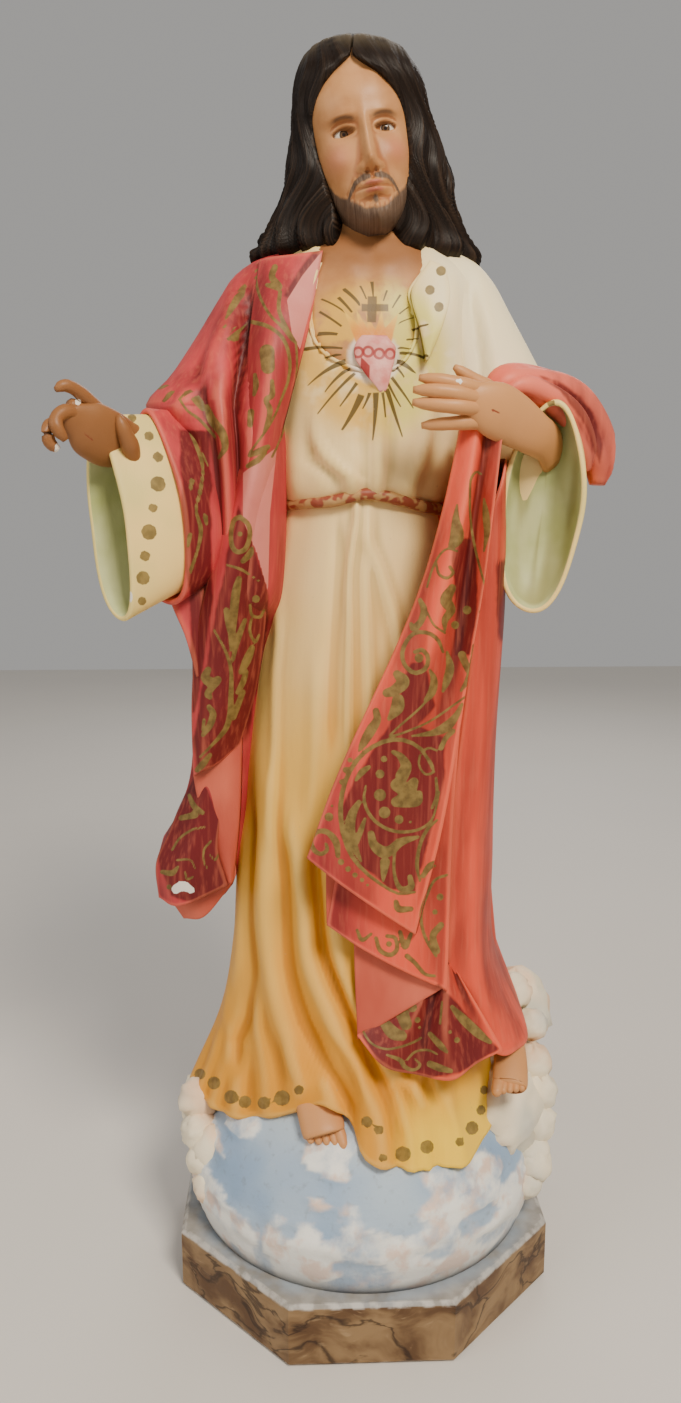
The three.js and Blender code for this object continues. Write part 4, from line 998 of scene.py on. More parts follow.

# %% [markdown]
# ## Hands and feet
#
# One hand blesses and the other points to the heart. A palm is a flattened tube, and each finger a
# tube that swells at its joints and is drawn in round its tip. The feet show only their toes.

# %% Hands and feet
HANDS = {
    "right": {
        "palm": [(-156,-78,690,13), (-168,-92,698,15), (-174,-98,700,17), (-181,-108,702,19.5),
         (-188,-118,706,19.5), (-194,-126,710,18), (-199,-132,713,13), (-204,-138,715,8),
         (-207,-142,716,3.5)],
        "flat": (0.55, 0.1, 0.83), "thin": 0.42,
        "fingers": [[(-186,-116,720,5.4), (-192,-126,727,5), (-198,-136,733,4.4), (-204,-142,735,4),
          (-209,-146,732,3)], [(-194,-124,718,5.4), (-199,-132,722,4.8), (-204,-136,724,4.4)],
         [(-196,-126,714,5.4), (-203,-138,719,5), (-209,-145,715,4.6), (-209,-148,708,4.4),
          (-204,-146,700,3.6)],
         [(-204,-126,706,5), (-212,-138,711,4.6), (-216,-144,707,4.4), (-215,-144,699,4.2),
          (-210,-142,694,3.6)],
         [(-168,-100,687,6), (-168,-110,698,6.4), (-171,-116,708,5.2), (-174,-118,718,3.4)]],
    },
    "left": {
        "palm": [(138,-64,692,13), (130,-78,702,14), (117,-92,708,15.5), (99,-104,717,18.5),
         (84,-113,723,19), (71,-119,727,14), (64,-121,728,9), (58,-122,729,4)],
        "flat": (0.38, 0, 0.92), "thin": 0.45,
        "fingers": [[(82,-112,734,5.6), (62,-122,738,5.2), (46,-124,741,4.6), (30,-122,743,3.4)],
         [(80,-114,728,5.6), (59,-125,732,5.4), (43,-127,734,4.8), (26,-124,735,3.6)],
         [(79,-114,723,5.6), (59,-125,724,5.4), (43,-126,725,4.8), (26,-122,727,3.6)],
         [(83,-110,715,5.4), (63,-118,714,5), (48,-119,713,4.4), (33,-116,712,3.4)],
         [(89,-104,733,6.4), (77,-110,739,5.6), (65,-113,745,4.6), (55,-116,751,3.2)]],
    },
}


def finger_swell(v, turn):
    """Wider at two joints and drawn in round the tip."""
    joints = 0.05 * bell(v - 0.36, 0.08) + 0.05 * bell(v - 0.7, 0.07)
    return (1 + joints) * np.sqrt(np.clip(1 - ease(v, 0.86, 1.0) * 0.62, 0.05, 1))


for side, hand in HANDS.items():
    round_form(f"{side} palm", tube(hand["palm"], 30, 24, hand["flat"], hand["thin"]), "skin")
    for number, finger in enumerate(hand["fingers"]):
        round_form(f"{side} finger {number}", tube(finger, 14, 16, swell=finger_swell), "skin")

FEET = [
    {
        "ankle": (-47,-60,192), "instep": (-42,-84,184), "ball": (-36,-103,170), "tips": (-32,-114,159),
        "big": 1, "spread": 6.4,
    },
    {
        "ankle": (120,-56,222), "instep": (118,-76,212), "ball": (115,-92,201), "tips": (112,-103,196),
        "big": -1, "spread": 5.2,
    },
]
TOE_RADIUS = 3.3


def foot(number, ankle, instep, ball, tips, big, spread):
    """The instep as a flattened tube, and five toes side by side, the big one widest."""
    ankle, instep, ball, tips = (np.array(p, float) for p in (ankle, instep, ball, tips))
    width = 2.6 * spread
    front = ball + (tips - ball) * 0.3
    shares = (ankle, 0.9), (instep, 1), (ball, 1.05), (front, 0.9)
    guides = [(*point, width * share) for point, share in shares]
    round_form(f"foot {number}", tube(guides, 26, 16, (1, 0, 0), 0.55), "skin")
    for place in (-2, -1, 0, 1, 2):
        large = place * big == 2
        radius = TOE_RADIUS * (1.35 if large else 1)
        reach = 1 if large else 0.9 - 0.05 * abs(place - 2 * big)
        root = ball + np.array([place * spread * 0.9, 0, 0])
        end = root + (tips + np.array([place * spread, 0, 0]) - root) * reach
        knuckle = root + (end - root) * 0.6
        toe = [(*root, radius * 1.2), (*knuckle, radius), (*end, radius * 0.7)]
        round_form(f"foot {number} toe {place}", tube(toe, 12, 10, swell=finger_swell), "skin")


for number, shape in enumerate(FEET):
    foot(number, **shape)

# %% The flaming heart
HEART = [
    (3,-75,777,9), (3,-75,770,14.3), (4,-75,763,14.7), (6,-78,753,10.4), (8,-79,745,6), (9,-79,738,2.2),
]
round_form("heart", tube(HEART, 32, 24, (1, 0, 0), 0.2), "heart")
triangle_count = sum(2 * len(form["quads"]) + len(form["triangles"]) for form in forms)
print("forms", len(forms), "triangles", triangle_count)

# %% [markdown]
# ## Gilding
#
# The mantle carries gold scrollwork in the old manner: stems that curl into spirals, split leaves
# and dots. Each stroke is a run of pixels with a half width, drawn as a brush would go. What every
# point of the cloth needs to know is how far it lies from the nearest stroke, in pixels of the
# picture, because paint is then a matter of whether that distance is below nothing.

# %% Strokes of the gilder's brush: pixels across and down, and a half width where it changes
CASCADE_STROKES = [
    [(481,474,1), (476,472,1.3), (471,479), (470,492), (470,512), (472,532), (476,552), (482,575,1.2),
     (487,592,1), (488,603,0.8)],
    [(482,612,3), (484,628,1.6), (484,642), (480,660,1.8), (472,677), (461,691,1.2)],
    [(484,499,1), (486,515,3.5), (487,532,3.2), (484,551,0.8)],
    [(457,505,1), (456,520,4), (457,536,7), (452,546,4)],
    [(427,587,0.9), (432,570,1.2), (439,556), (447,549), (457,551,1)],
    [(436,562,1.2), (439,574,1.5), (447,578,1.6), (453,573), (450,567,1.8)],
    [(452,588,4), (446,600,6), (451,610,4.5), (445,620,3.5), (445,631,1)], [(467,610,4.3)],
    [(455,625,4)], [(420,600,2.2), (424,610,3.6), (421,621,3.4), (414,628,3.6), (411,624,2)],
    [(427,612,0.8), (434,625,1), (445,633)],
    [(443,652,1.4), (438,640,2), (428,633,2.1), (415,633), (406,642,2.2), (402,655), (406,667),
     (416,673), (426,668), (428,657), (422,650), (415,652,2)],
    [(419,658,4.5)], [(430,670,1.4), (434,680,3.6), (432,692,4), (426,700,2.4)],
    [(397,674,4), (403,682,6.5), (395,690,5.5), (387,693,4.5)],
    [(398,700,6), (397,708,6.5), (389,719,2)],
    [(447,652,1.4), (450,667,4.2), (447,680,4), (443,691,1.6)],
    [(462,655,4), (466,665,3.6), (471,677,2.4)],
    [(475,646,2.6), (473,662,3.2), (468,678,2.6), (461,690,0.9)],
    [(376,711,3.4), (377,720,4), (371,730,5.2), (364,742,4.2), (359,751,1.2)],
    [(435,691,0.6), (420,708,0.8), (403,723), (390,735,0.6)],
    [(465,697,0.5), (432,720,0.6), (408,731), (390,737,0.5)],
    [(462,704,1.6), (456,716,3.4), (446,727,5), (432,733,3), (412,736,0.7)],
    [(453,731,2.6), (446,738), (441,748)],
    [(434,772,1.2), (423,751,1.8), (407,741,2), (390,740,2.1), (372,747,2.2), (358,759,2.3),
     (347,777,2.4), (341,800,2.5), (341,822), (345,840,2.3), (351,855,2.1), (365,872,1.9),
     (385,887,1.6), (400,894,1.4), (415,892,1.2)],
    [(420,755,1), (419,765,1.1), (425,774,1.2), (433,772), (431,762,1.1), (423,752), (430,748),
     (437,751,1)],
    [(436,778,1.4), (437,795,1.8), (432,808,1.4)],
    [(393,752,2), (400,756,3.4), (406,766,5.5), (402,776,6.5)],
    [(397,785,6.5), (408,790,7.5), (414,782,4.5)],
    [(396,802,5), (406,800,7.5), (417,801,5), (419,794,3.5)], [(384,759,3.2)], [(380,774,4.4)],
    [(380,795,6)], [(384.5,812.5,5.8)], [(399,819.5,4.4)], [(410.5,822,1.5)],
    [(369,767,2), (362,772,3.3), (356,780,1.6)],
    [(366,786,1.1), (364,797,1.5), (367,810,1.7), (376,822), (390,830), (405,832,1.6), (420,829,1.4),
     (431,821,1.2), (436,808,1), (439,792,0.9)],
    [(359,802,2.4), (352,815,4.6), (350,830,5.2), (354,846,4), (361,861,1.2)],
    [(365,819,1.6), (361,830,2.8), (357,842,2.2)], [(350,760,2.6)], [(346,770,3.3)], [(342,782,3)],
    [(332,806,1.6)], [(329,817,4.4)],
    [(338,856,2.4), (336,842,3.6), (327,832,2.8), (317,832,2.4), (311,840), (314,850), (321,854,2.2),
     (327,850,2), (326,844,1.6)],
    [(341,862,3.2)], [(348,869,2.9)], [(355,875,2.7)], [(362,880,2.3)], [(367.5,885,1.6)],
    [(371,834,3.5), (374,845,4.6), (383,852,6), (391,850,5), (401,842,4.2), (418,837,1.6)],
    [(385,862,5), (384,871,3.6), (383,881,1.2)],
    [(397,840,1.4), (394,860,1.5), (395,877,1.8), (401,889,2.8), (411,887,3.4), (410,877,2.6)],
    [(437,820,1.3), (427,830,1.8), (420,845,1.9), (417,865), (420,881,1.3)],
    [(396,902,2.6), (399,909,3.6), (411,909,2.6)], [(440,862,2.6), (430,866,3.4), (423,876,2.4)],
    [(447,875,1.4), (435,880), (427,895,1.6), (421,915,1.7), (425,937), (436,956,1.6)], [(440,897,3.6)],
    [(435,912,2.8)], [(441,925,3.2), (433,936,3.6), (437,951,3.2)],
    [(357,930,1.6), (362,940,2.1), (371,934,1.6)],
    [(376,938,2), (380,950,2.3), (390,955,2.4), (397,949,2.2), (395,938,2), (387,936)], [(389,944,3)],
    [(400,932,2.2), (405,947,2.8), (411,934,2)],
    [(407,956,2.6), (415,963,2.2), (425,974,1.8), (435,976,1.4)],
    [(389,1010,5), (400,1011,6.5), (406,1024,6)], [(381,1018,4), (392,1032,6.5), (402,1036,5)],
    [(412.5,1007.5,4.6)], [(417.5,1020,3)], [(419.5,1027.5,1.7)],
    [(360,1025,0.9), (370,1042,1), (385,1049), (400,1047), (414,1042), (421,1038,0.8)],
    [(387,1055,1.2), (400,1060,2.2), (405,1067,2.3), (414,1070,1.5), (420,1065,1.4), (415,1059,1)],
    [(407,1060,1.1), (415,1052,1.2), (427,1050), (437,1054,1)],
    [(430,1064,3.4), (440,1068,3.6), (451,1071,2.2)], [(430,1034,2.4), (440,1045,3.4), (447,1052,1.6)],
    [(452,1007,2.2), (463,1019,4.6), (478,1033), (490,1042,2.2)], [(457,1040,3)], [(450,1032,2)],
    [(442,1002,1.1), (441,1014,1.3), (440,1024,1)],
]
BAND_STROKES = [
    [(257,265,1.5), (256,280), (260,297), (270,315), (282,327), (292,340)],
    [(280,292,2.1), (279,310), (286,327), (295,342,1.7)],
    [(275,267,3), (272,277,3.4), (279,287), (267,285,2.1)],
    [(252,322,2.1), (267,326), (280,335,1.9), (287,347), (290,365,1.7), (288,382,1.5)],
    [(288,382,1.5), (281,400,1.3), (275,415), (265,432), (250,452,1.2)], [(267,352,7.7), (268,367,6.9)],
    [(296,342,1.1), (297,360), (296,380), (290,410), (280,440), (272,457)],
    [(255,375,2.1), (256,385,3), (254,395,1.7)],
    [(272,381,2.1), (272,395,3), (266,400,2.6), (270,412,3), (264,432,1.3)],
    [(251,412,3.4), (250,425,3)], [(250,455,2.6), (262,450,3.4), (268,447,2.6)],
    [(248,466,2.6), (258,460,3), (265,453,2.1)],
    [(240,517,2.4), (248,524), (250,535), (246,548), (238,552), (232,546), (231,532), (234,520),
     (240,517)],
    [(240,534,2.6)], [(243,561,2.6), (250,554,3.4), (252,548,1.7)],
    [(227,565,1.2), (240,569,1.5), (250,575,1.3), (260,582,1.2)],
    [(239,579,3), (236,592,4.3), (234,610), (232,630,3.9), (231,650,1.5)],
    [(226,610,2.6), (229,622,3.9), (231,632,3.4)],
    [(245,620,2.1), (240,633,3), (236,645), (233,660,1.7)], [(256,599,3.9)],
    [(250,605,1.4), (252,615,1.5), (260,617), (264,610,1.3)],
    [(251,620,1.4), (250,632,1.5), (255,642), (259,635,1.3)],
    [(252,648,3), (247,660,4.3), (241,672,2.6)],
    [(214,630,1.2), (225,650,1.5), (231,670,1.9), (231,695,2.6), (230,715,3), (225,730,2.6),
     (212,745,1.5), (200,757,1.2)],
    [(246,672,2.6), (243,682,3), (238,692,2.6)], [(243,692,2.6), (238,705,3), (234,718,2.1)],
    [(208,670,3.4), (205,678,4.3), (213,683,5.2), (218,680,3.4), (208,693), (210,697,2.6)],
    [(209,707,2.6), (213,714,3.4), (210,725), (203,735,2.1)], [(204,720,1.7), (203,730)],
    [(210,755,2.1), (203,764,3.4), (197,770,2.6)],
]
ARM_STROKES = [
    [(245,282,2.4), (242,292,3.6), (237,300,4.6), (231,307,2.4)], [(245,302,3.6)],
    [(232,308,1.4), (225,321,1.8), (225,332,2), (231,340,2.3), (239,337), (241,328,1.6), (235,325,1.2),
     (234,331,1.4)],
    [(155,390,1.8), (165,387,2.6), (172,391,2.8), (164,400,2.4)],
    [(187,390,2.6), (197,400,4.4), (203,408,3.2)],
    [(207,407,2.6), (212,420,4.6), (222,433,4.4), (225,447,3.4), (219,458,1.6)],
    [(177,395,1.4), (187,410), (200,420,1.7), (215,437,1.4)],
    [(177,432,2.6), (185,447,3.6), (190,458,2.4)],
    [(190,482,2), (195,491,2.2), (205,490), (209,482,1.8)],
    [(191,505,3.5), (193,515,4), (197,520), (200,508,3), (207,502,2)],
    [(196,525,1.5), (195,540), (197,555), (205,565), (211,567)], [(207,525,1.4), (210,537)],
    [(195,575,4), (197,585,6), (204,578,4), (195,597,3.5)],
    [(204,592,1.5), (199,610), (200,630), (204,650)], [(207,605,2.5), (204,620,3.5), (203,638,3)],
    [(197,660,1.6), (200,673,2.6)],
]
CORNER_STROKES = [
    [(189,795,1.7), (194,806,2.9), (203,813,2.2)], [(181,818,2.6), (195,815,3.3)],
    [(172,850,1.1), (180,838), (192,830,1.3), (205,827,1.2)],
    [(211,841,1.1), (204,850), (204,862), (207,868)], [(210,855,1.1), (215,860), (219,854)],
    [(177,860,1.1), (190,860), (195,868)], [(185,872,1.1), (187,879,1.2), (193,877,1.1)],
    [(162,872,2.1), (172,873,2.9), (178,867,1.4)], [(169,887,2.6)],
]
HEM_DOTS = [
    (189,1062,5), (200,1074,5.5), (214,1083,6.5), (231,1097,7), (245,1102,6.5), (264,1103,6.5),
    (282,1098,8), (299,1090,5), (366.5,1122,6), (379,1130,5), (383,1158,4.5), (403,1154,8),
    (427,1147,7), (460,1142,4.8), (472,1128,6.8), (481,1110,5), (484,1090,4.5),
]
CUFF_DOTS = [
    (132,418,4.5), (149,436,5), (158,457,5.5), (158,484,8), (153,508,5), (149,532,8), (145,556,5.5),
    (143,578,7), (142,601,4.5), (533,396,4), (551,403,4), (441,271,5), (430,290,5), (439,307,5),
]


STROKE_MARGIN, LEAST_STROKE, FAR = 14, 1.15, 99.0


def stroke_distance(spots, strokes, steps=26):
    """Pixels to the nearest stroke, below 0 on it: along each straight piece from a to b of its
    smooth path, the distance from p to a + (b - a) t, t from 0 to 1, less the radius there."""
    nearest = np.full(len(spots), FAR)
    for stroke in strokes:
        widths = []
        for point in stroke:
            widths.append(point[2] if len(point) == 3 else widths[-1])
        stroke = np.array([(*point[:2], width) for point, width in zip(stroke, widths)], float)
        stroke = stroke if len(stroke) > 1 else stroke[[0, 0]]
        path = through(stroke, np.linspace(0, 1, steps if len(stroke) > 2 else 2))
        low, high = path[:, :2].min(0) - STROKE_MARGIN, path[:, :2].max(0) + STROKE_MARGIN
        near = np.nonzero(((spots > low) & (spots < high)).all(1))[0]
        a, b = path[None, :-1], path[None, 1:]
        p = spots[near, None]
        way = (b - a)[..., :2]
        t = ((p - a[..., :2]) * way).sum(-1) / np.maximum((way**2).sum(-1), 1e-9)
        spine = a + (b - a) * np.clip(t, 0, 1)[..., None]
        away = np.linalg.norm(p - spine[..., :2], axis=-1) - np.maximum(spine[..., 2], LEAST_STROKE)
        nearest[near] = np.minimum(nearest[near], away.min(1))
    return nearest


MANTLE_CUFF_STROKES = [
    [(190,432,1.4), (198,450,2), (203,470,1.6), (200,492,2.2), (196,510,1.5), (201,530,2.2),
     (197,552,1.6), (190,572,2)],
    [(205,455,2.6), (208,465,1.6)], [(192,480,2.8), (190,492,1.6)], [(205,515,2.8), (207,526,1.4)],
    [(190,535,2.6), (188,546,1.6)],
]
INKED = {
    "mantle cuff": MANTLE_CUFF_STROKES,
    "front band": BAND_STROKES,
    "arm drape": ARM_STROKES + BAND_STROKES,
    "hanging corner": CORNER_STROKES,
    "skirt": [[dot] for dot in HEM_DOTS],
}
for name in ("cascade front", "cascade middle", "cascade foot"):
    INKED[name] = CASCADE_STROKES
for name in ("right sleeve", "left sleeve", "collar flap"):
    INKED[name] = [[dot] for dot in CUFF_DOTS]
CHIPS = [[(176,889,4.5), (183,886,5), (191,890,3.5)], [(131,592,1.2), (131,601,1.6)]]
CHIPPED_SKIN = [[(58,446,3), (57,452,2.4)], [(78,402,3.2)], [(459,381,3.4)]]
WOUNDS = [[(82,428,1.2), (87,434,2), (93,440,1.2)], [(490,411,1.4), (497,411,2.2), (503,412,1.4)]]
# Dark crimson zones in pixels: the crimson field inside the scrollwork, and painted shade in deep furrows,
# in the holes of the right column and in the groove of the rolls.
CRIMSON_AND_SHADE_ZONES = [
    [(399,704), (403,682), (411,664), (423,660), (430,682), (436,706), (418,725), (445,738), (445,779),
     (437,806), (431,834), (424,856), (415,893), (388,888), (354,861), (340,834), (343,806), (354,779),
     (372,752), (386,729)],
    [(454,535), (472,540), (477,575), (475,620), (468,647), (454,629), (456,584), (452,560)],
    [(238,505), (257,553), (268,593), (268,620), (260,677), (252,717), (240,743), (223,760), (197,775),
     (193,740), (210,643), (227,556)],
    [(180,430), (210,430), (212,597), (204,660), (195,713), (192,713), (190,600), (182,520)],
    [(196,776), (208,790), (222,826), (231,856), (232,890), (190,902), (170,896), (157,857), (180,800)],
    [(357,1030), (384,1072), (422,1080), (461,1072), (499,1049), (439,984)],
    [(455,548), (476,548), (478,600), (470,655), (455,655)],
    [(496,560), (520,560), (520,640), (498,640)],
    [(284,296), (300,268), (318,246), (320,254), (304,276), (290,298)],
    [(540,376), (562,382), (592,410), (603,440), (601,466), (594,450), (582,420), (560,392)],
]
PINK_ZONES = [
    [(243,473), (277,447), (270,513), (268,592), (257,553), (243,520)],
    [(287,300), (302,276), (318,256), (326,248), (318,285), (308,318), (300,350), (292,334)],
]


def zone_share(spots, zones, soft):
    """0 outside, 1 inside the zones, soft at their edges; a zone is a ring of pixels."""
    share = np.zeros(len(spots))
    for zone in zones:
        deep = inside(np.array(zone, float), spots[:, 0], spots[:, 1])
        share = np.maximum(share, ease(deep, -soft, soft))
    return share


print("strokes", sum(len(s) for s in (CASCADE_STROKES, BAND_STROKES, ARM_STROKES, CORNER_STROKES)))

# %% [markdown]
# ## Two meshes for one cast
#
# The forms are put into two meshes, the mantle and the rest of the figure, with a paint for each
# of their faces. The cast is one piece: two meshes only keep each of them light. On the way every
# point gets its marks: how far it is from the gilding, whether it lies on a ridge or in a furrow,
# and where hair and beard run. A point that stands proud of the mean of its neighbours is on a ridge,
# where some paints put a painted highlight, and the furrows get painted shade.

# %% Join the forms and mark their points
PAINTS = [
    "tunic", "mantle", "lining", "sleeve", "green", "skin", "eye", "hair", "sky", "cloud", "belt", "heart",
]
MARKS = ["cloud", "beard", "lips", "blush", "brow", "strand"]
EDGE_GAP, RIDGE_GAIN = 0.0004, 10


def point_normals(points, halves):
    """The faces' normals, weighted by their areas, added up at their corners."""
    normals = np.zeros_like(points)
    a, b, c = corners(points, halves)
    for corner in halves.T:
        np.add.at(normals, corner, np.cross(b - a, c - a))
    return normals / np.maximum(np.linalg.norm(normals, axis=1, keepdims=True), 1e-12)


def ridges(points, normals, edges, rounds=3):
    """Curvature in 1/unit, above 0 on ridges: how far the mean of the neighbours lies below the
    point, along its normal, over the square of their distance, smoothed by a few means."""
    here, there = np.vstack([edges, edges[:, ::-1]]).T
    step = points[there] - points[here]
    bend = -2 * (step * normals[here]).sum(1) / np.maximum((step**2).sum(1), 1e-6)
    count = np.maximum(np.bincount(here, minlength=len(points)), 1)
    value = np.bincount(here, weights=np.clip(bend, -1, 1), minlength=len(points)) / count
    for _ in range(rounds):
        around = np.bincount(here, weights=value[there], minlength=len(points))
        value = 0.5 * value + 0.5 * around / count
    return value


def point_marks(form):
    """The marks of a form's points, with strokes and zones only where they face the picture."""
    points, name = form["points"], form["name"]
    spots = pixels(points)
    normals = point_normals(points, halved(form["quads"], form["triangles"]))
    seen = (normals * (EYE - points)).sum(1) > 0
    hand = "finger" in name or "palm" in name
    far = np.full(len(points), FAR)
    marks = {
        "ink": stroke_distance(spots, INKED[name]) if name in INKED else far,
        "chip": stroke_distance(spots, CHIPPED_SKIN if hand else CHIPS),
        "wound": stroke_distance(spots, WOUNDS) if hand else far,
    }
    marks = {key: np.where(seen, value, FAR) for key, value in marks.items()}
    marks["crimson"] = zone_share(spots, CRIMSON_AND_SHADE_ZONES, 5) * seen
    marks["pink"] = zone_share(spots, PINK_ZONES, 2) * seen
    marks["limb"] = np.full(len(points), float(hand or "foot" in name or "toe" in name))
    for key in MARKS:
        marks[key] = form["marks"].get(key, np.zeros(len(points)))
    return marks


def piece(name, chosen):
    """Joins forms into one object of the cast, with only the paints that it needs, in order."""
    starts = np.cumsum([0] + [len(form["points"]) for form in chosen])
    points = np.vstack([form["points"] for form in chosen])
    quads = np.vstack([form["quads"] + start for form, start in zip(chosen, starts)])
    triangles = np.vstack([form["triangles"] + start for form, start in zip(chosen, starts)])
    halves = halved(quads, triangles)
    sides = [quads[:, [k, (k + 1) % 4]] for k in range(4)]
    sides += [triangles[:, [k, (k + 1) % 3]] for k in range(3)]
    edges = np.unique(np.sort(np.vstack(sides), axis=1), axis=0)
    marks = [point_marks(form) for form in chosen]
    marks = {key: np.concatenate([mark[key] for mark in marks]) for key in marks[0]}
    bend = ridges(points, point_normals(points, halves), edges)
    marks["ridge"] = np.clip(bend * RIDGE_GAIN, -1, 1)
    finish = [form["finish"][: len(form["quads"])] for form in chosen]
    finish = np.concatenate(finish + [form["finish"][len(form["quads"]) :] for form in chosen])
    needed = [paint for paint in PAINTS if paint in finish]
    places = np.clip(placed(points), np.array(cad_low) + EDGE_GAP, np.array(cad_high) - EDGE_GAP)

    mesh = bpy.data.meshes.new(name)
    mesh.vertices.add(len(places))
    mesh.vertices.foreach_set("co", places.ravel())
    mesh.loops.add(quads.size + triangles.size)
    mesh.loops.foreach_set("vertex_index", np.concatenate([quads.ravel(), triangles.ravel()]))
    third = quads.size + np.arange(len(triangles)) * 3
    loop_starts = np.concatenate([np.arange(len(quads)) * 4, third])
    mesh.polygons.add(len(loop_starts))
    mesh.polygons.foreach_set("loop_start", loop_starts)
    mesh.polygons.foreach_set("use_smooth", np.ones(len(loop_starts), bool))
    mesh.polygons.foreach_set("material_index", [needed.index(paint) for paint in finish])
    mesh.update(calc_edges=True)
    changed = mesh.validate()
    for key, values in marks.items():
        layer = mesh.attributes.new(key, "FLOAT", "POINT")
        layer.data.foreach_set("value", values.astype(np.float32))

    cast = bpy.data.objects.new(name, mesh)
    bpy.context.scene.collection.objects.link(cast)
    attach(cast, "root")
    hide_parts("statue")
    print(name, "triangles", len(halves), "points", len(points), "changed by validate:", changed)
    return mesh, needed


MANTLE_FORMS = {*FALLS, "arm drape", "mantle back", "mantle cuff"}
split = {True: [], False: []}
for form in forms:
    split[form["name"] in MANTLE_FORMS or form["name"].startswith("roll")].append(form)
pieces = [piece("painted_mantle", split[True]), piece("painted_figure", split[False])]

# %% [markdown]
# ## A way to write paint
#
# A paint is a small sum: a base colour, with painted shade in the furrows and painted highlights on
# the ridges, and a little noise. Writing it as sums in Python keeps it readable, so one class wraps
# a socket of numbers and turns + - * / into nodes, and another adds any other node with its settings.

# %% Shader sums and one method for nodes
class Value:
    """A number that changes over the surface: an output socket with Python's operators."""

    def __init__(self, paint, socket):
        self.paint, self.socket = paint, socket

    def math(self, operation, *others):
        """A math node with this value first."""
        inputs = dict(enumerate((self, *others)))
        node = self.paint.node("ShaderNodeMath", {"operation": operation}, inputs)
        return Value(self.paint, node.outputs[0])

    def __rsub__(self, other):
        node = self.paint.node("ShaderNodeMath", {"operation": "SUBTRACT"}, {0: other, 1: self})
        return Value(self.paint, node.outputs[0])

    __add__ = __radd__ = partialmethod(math, "ADD")
    __sub__ = partialmethod(math, "SUBTRACT")
    __mul__ = __rmul__ = partialmethod(math, "MULTIPLY")
    __truediv__ = partialmethod(math, "DIVIDE")
    __pow__ = partialmethod(math, "POWER")

    def ease(self, low, high):
        """0 below low, 1 above high, soft between; low may be the larger."""
        settings = {"interpolation_type": "SMOOTHSTEP"}
        inputs = {"Value": self, "From Min": low, "From Max": high}
        return Value(self.paint, self.paint.node("ShaderNodeMapRange", settings, inputs).outputs[0])


class Paint:
    """A material's nodes, the place on the surface and the colour that is on it so far."""

    def __init__(self, name):
        self.material = bpy.data.materials.new(name)
        self.material.use_nodes = True
        self.tree = self.material.node_tree
        self.surface = self.tree.nodes["Principled BSDF"].inputs
        self.vector = self.node("ShaderNodeTexCoord").outputs["Object"]
        parts = self.node("ShaderNodeSeparateXYZ", values={0: self.vector}).outputs
        self.x, self.y, self.z = (Value(self, part) for part in parts)

    def node(self, kind, settings=None, values=None):
        """Adds a node: its settings first, a ramp's stops among them, then values or links."""
        node = self.tree.nodes.new(kind)
        for key, value in (settings or {}).items():
            if key == "ramp":
                ramp = node.color_ramp
                ramp.interpolation, stops = value
                while len(ramp.elements) < len(stops):
                    ramp.elements.new(1.0)
                for element, (place, colour) in zip(ramp.elements, stops):
                    element.position, element.color = place, (*colour, 1)
            else:
                setattr(node, key, value)
        for key, value in (values or {}).items():
            self.feed(node.inputs[key], value)
        return node

    def feed(self, socket, value):
        """Links a Value or a socket, or sets a plain number or colour."""
        if isinstance(value, Value):
            value = value.socket
        if isinstance(value, bpy.types.NodeSocket):
            self.tree.links.new(value, socket)
        else:
            socket.default_value = (*value, 1) if socket.type == "RGBA" else value

    def mark(self, name):
        """A mark that the mesh carries at its points."""
        settings = {"attribute_type": "GEOMETRY", "attribute_name": name}
        return Value(self, self.node("ShaderNodeAttribute", settings).outputs["Fac"])

    def vectors(self, operation, values):
        """A vector from vectors."""
        return self.node("ShaderNodeVectorMath", {"operation": operation}, values).outputs[0]

    def noise(self, scale, detail=2.0, stretch=(1, 1, 1), vector=None, rough=0.5):
        """Noise from 0 to 1 with scale features to the metre, drawn out along an axis."""
        vector = vector or self.vector
        if stretch != (1, 1, 1):
            vector = self.vectors("MULTIPLY", {0: vector, 1: stretch})
        values = {"Vector": vector, "Scale": scale, "Detail": detail, "Roughness": rough}
        return Value(self, self.node("ShaderNodeTexNoise", values=values).outputs["Fac"])

    def mix(self, share, first, second):
        """One colour into another by a share."""
        return self.node("ShaderNodeMix", {"data_type": "RGBA"}, {0: share, 6: first, 7: second}).outputs[2]

    def ground(self, share, first, second):
        """The first coat: one colour into another by a share."""
        self.colour = self.mix(share, first, second)

    def coat(self, share, colour):
        """A coat over the colour so far, by a share."""
        self.colour = self.mix(share, self.colour, colour)

    def furrow_shade(self, low, high, share, colour):
        """A coat of painted shade in the furrows, from as deep as low to as deep as high."""
        self.coat((0.0 - self.mark("ridge")).ease(low, high) * share, colour)

    def chips(self, ragged, edge=0.2):
        """Bare plaster where the mark chip says so: its share."""
        share = (self.mark("chip") + (self.noise(500, 2) - 0.5) * ragged).ease(edge, -edge)
        self.coat(share, PLASTER)
        return share

    def satin(self, rough):
        """A roughness that varies a little from place to place."""
        return self.noise(60, 2) * 0.2 + rough

    def finish(self, rough, bump, strength=0.3, distance=0.0006, sheen=0.3):
        """Feeds the surface: colour, roughness, sheen, and a bump of that height in metres."""
        self.feed(self.surface["Base Color"], self.colour)
        self.feed(self.surface["Roughness"], rough)
        self.feed(self.surface["Specular IOR Level"], sheen)
        values = {"Strength": strength, "Distance": distance, "Height": bump}
        self.feed(self.surface["Normal"], self.node("ShaderNodeBump", values=values).outputs[0])


def cloth_grain(paint):
    """Brush marks along the folds and the pits of cast plaster, as one height from 0 to 1."""
    return paint.noise(420, 3, (1, 1, 0.12)) * 0.6 + paint.noise(900, 2) * 0.4


PLASTER = (0.80, 0.74, 0.66)
paints = {}


def recipe(write):
    """Makes the paint that a recipe writes, under the recipe's own name."""
    paint = Paint(write.__name__)
    write(paint)
    paints[write.__name__.removesuffix("_paint")] = paint.material
    return write
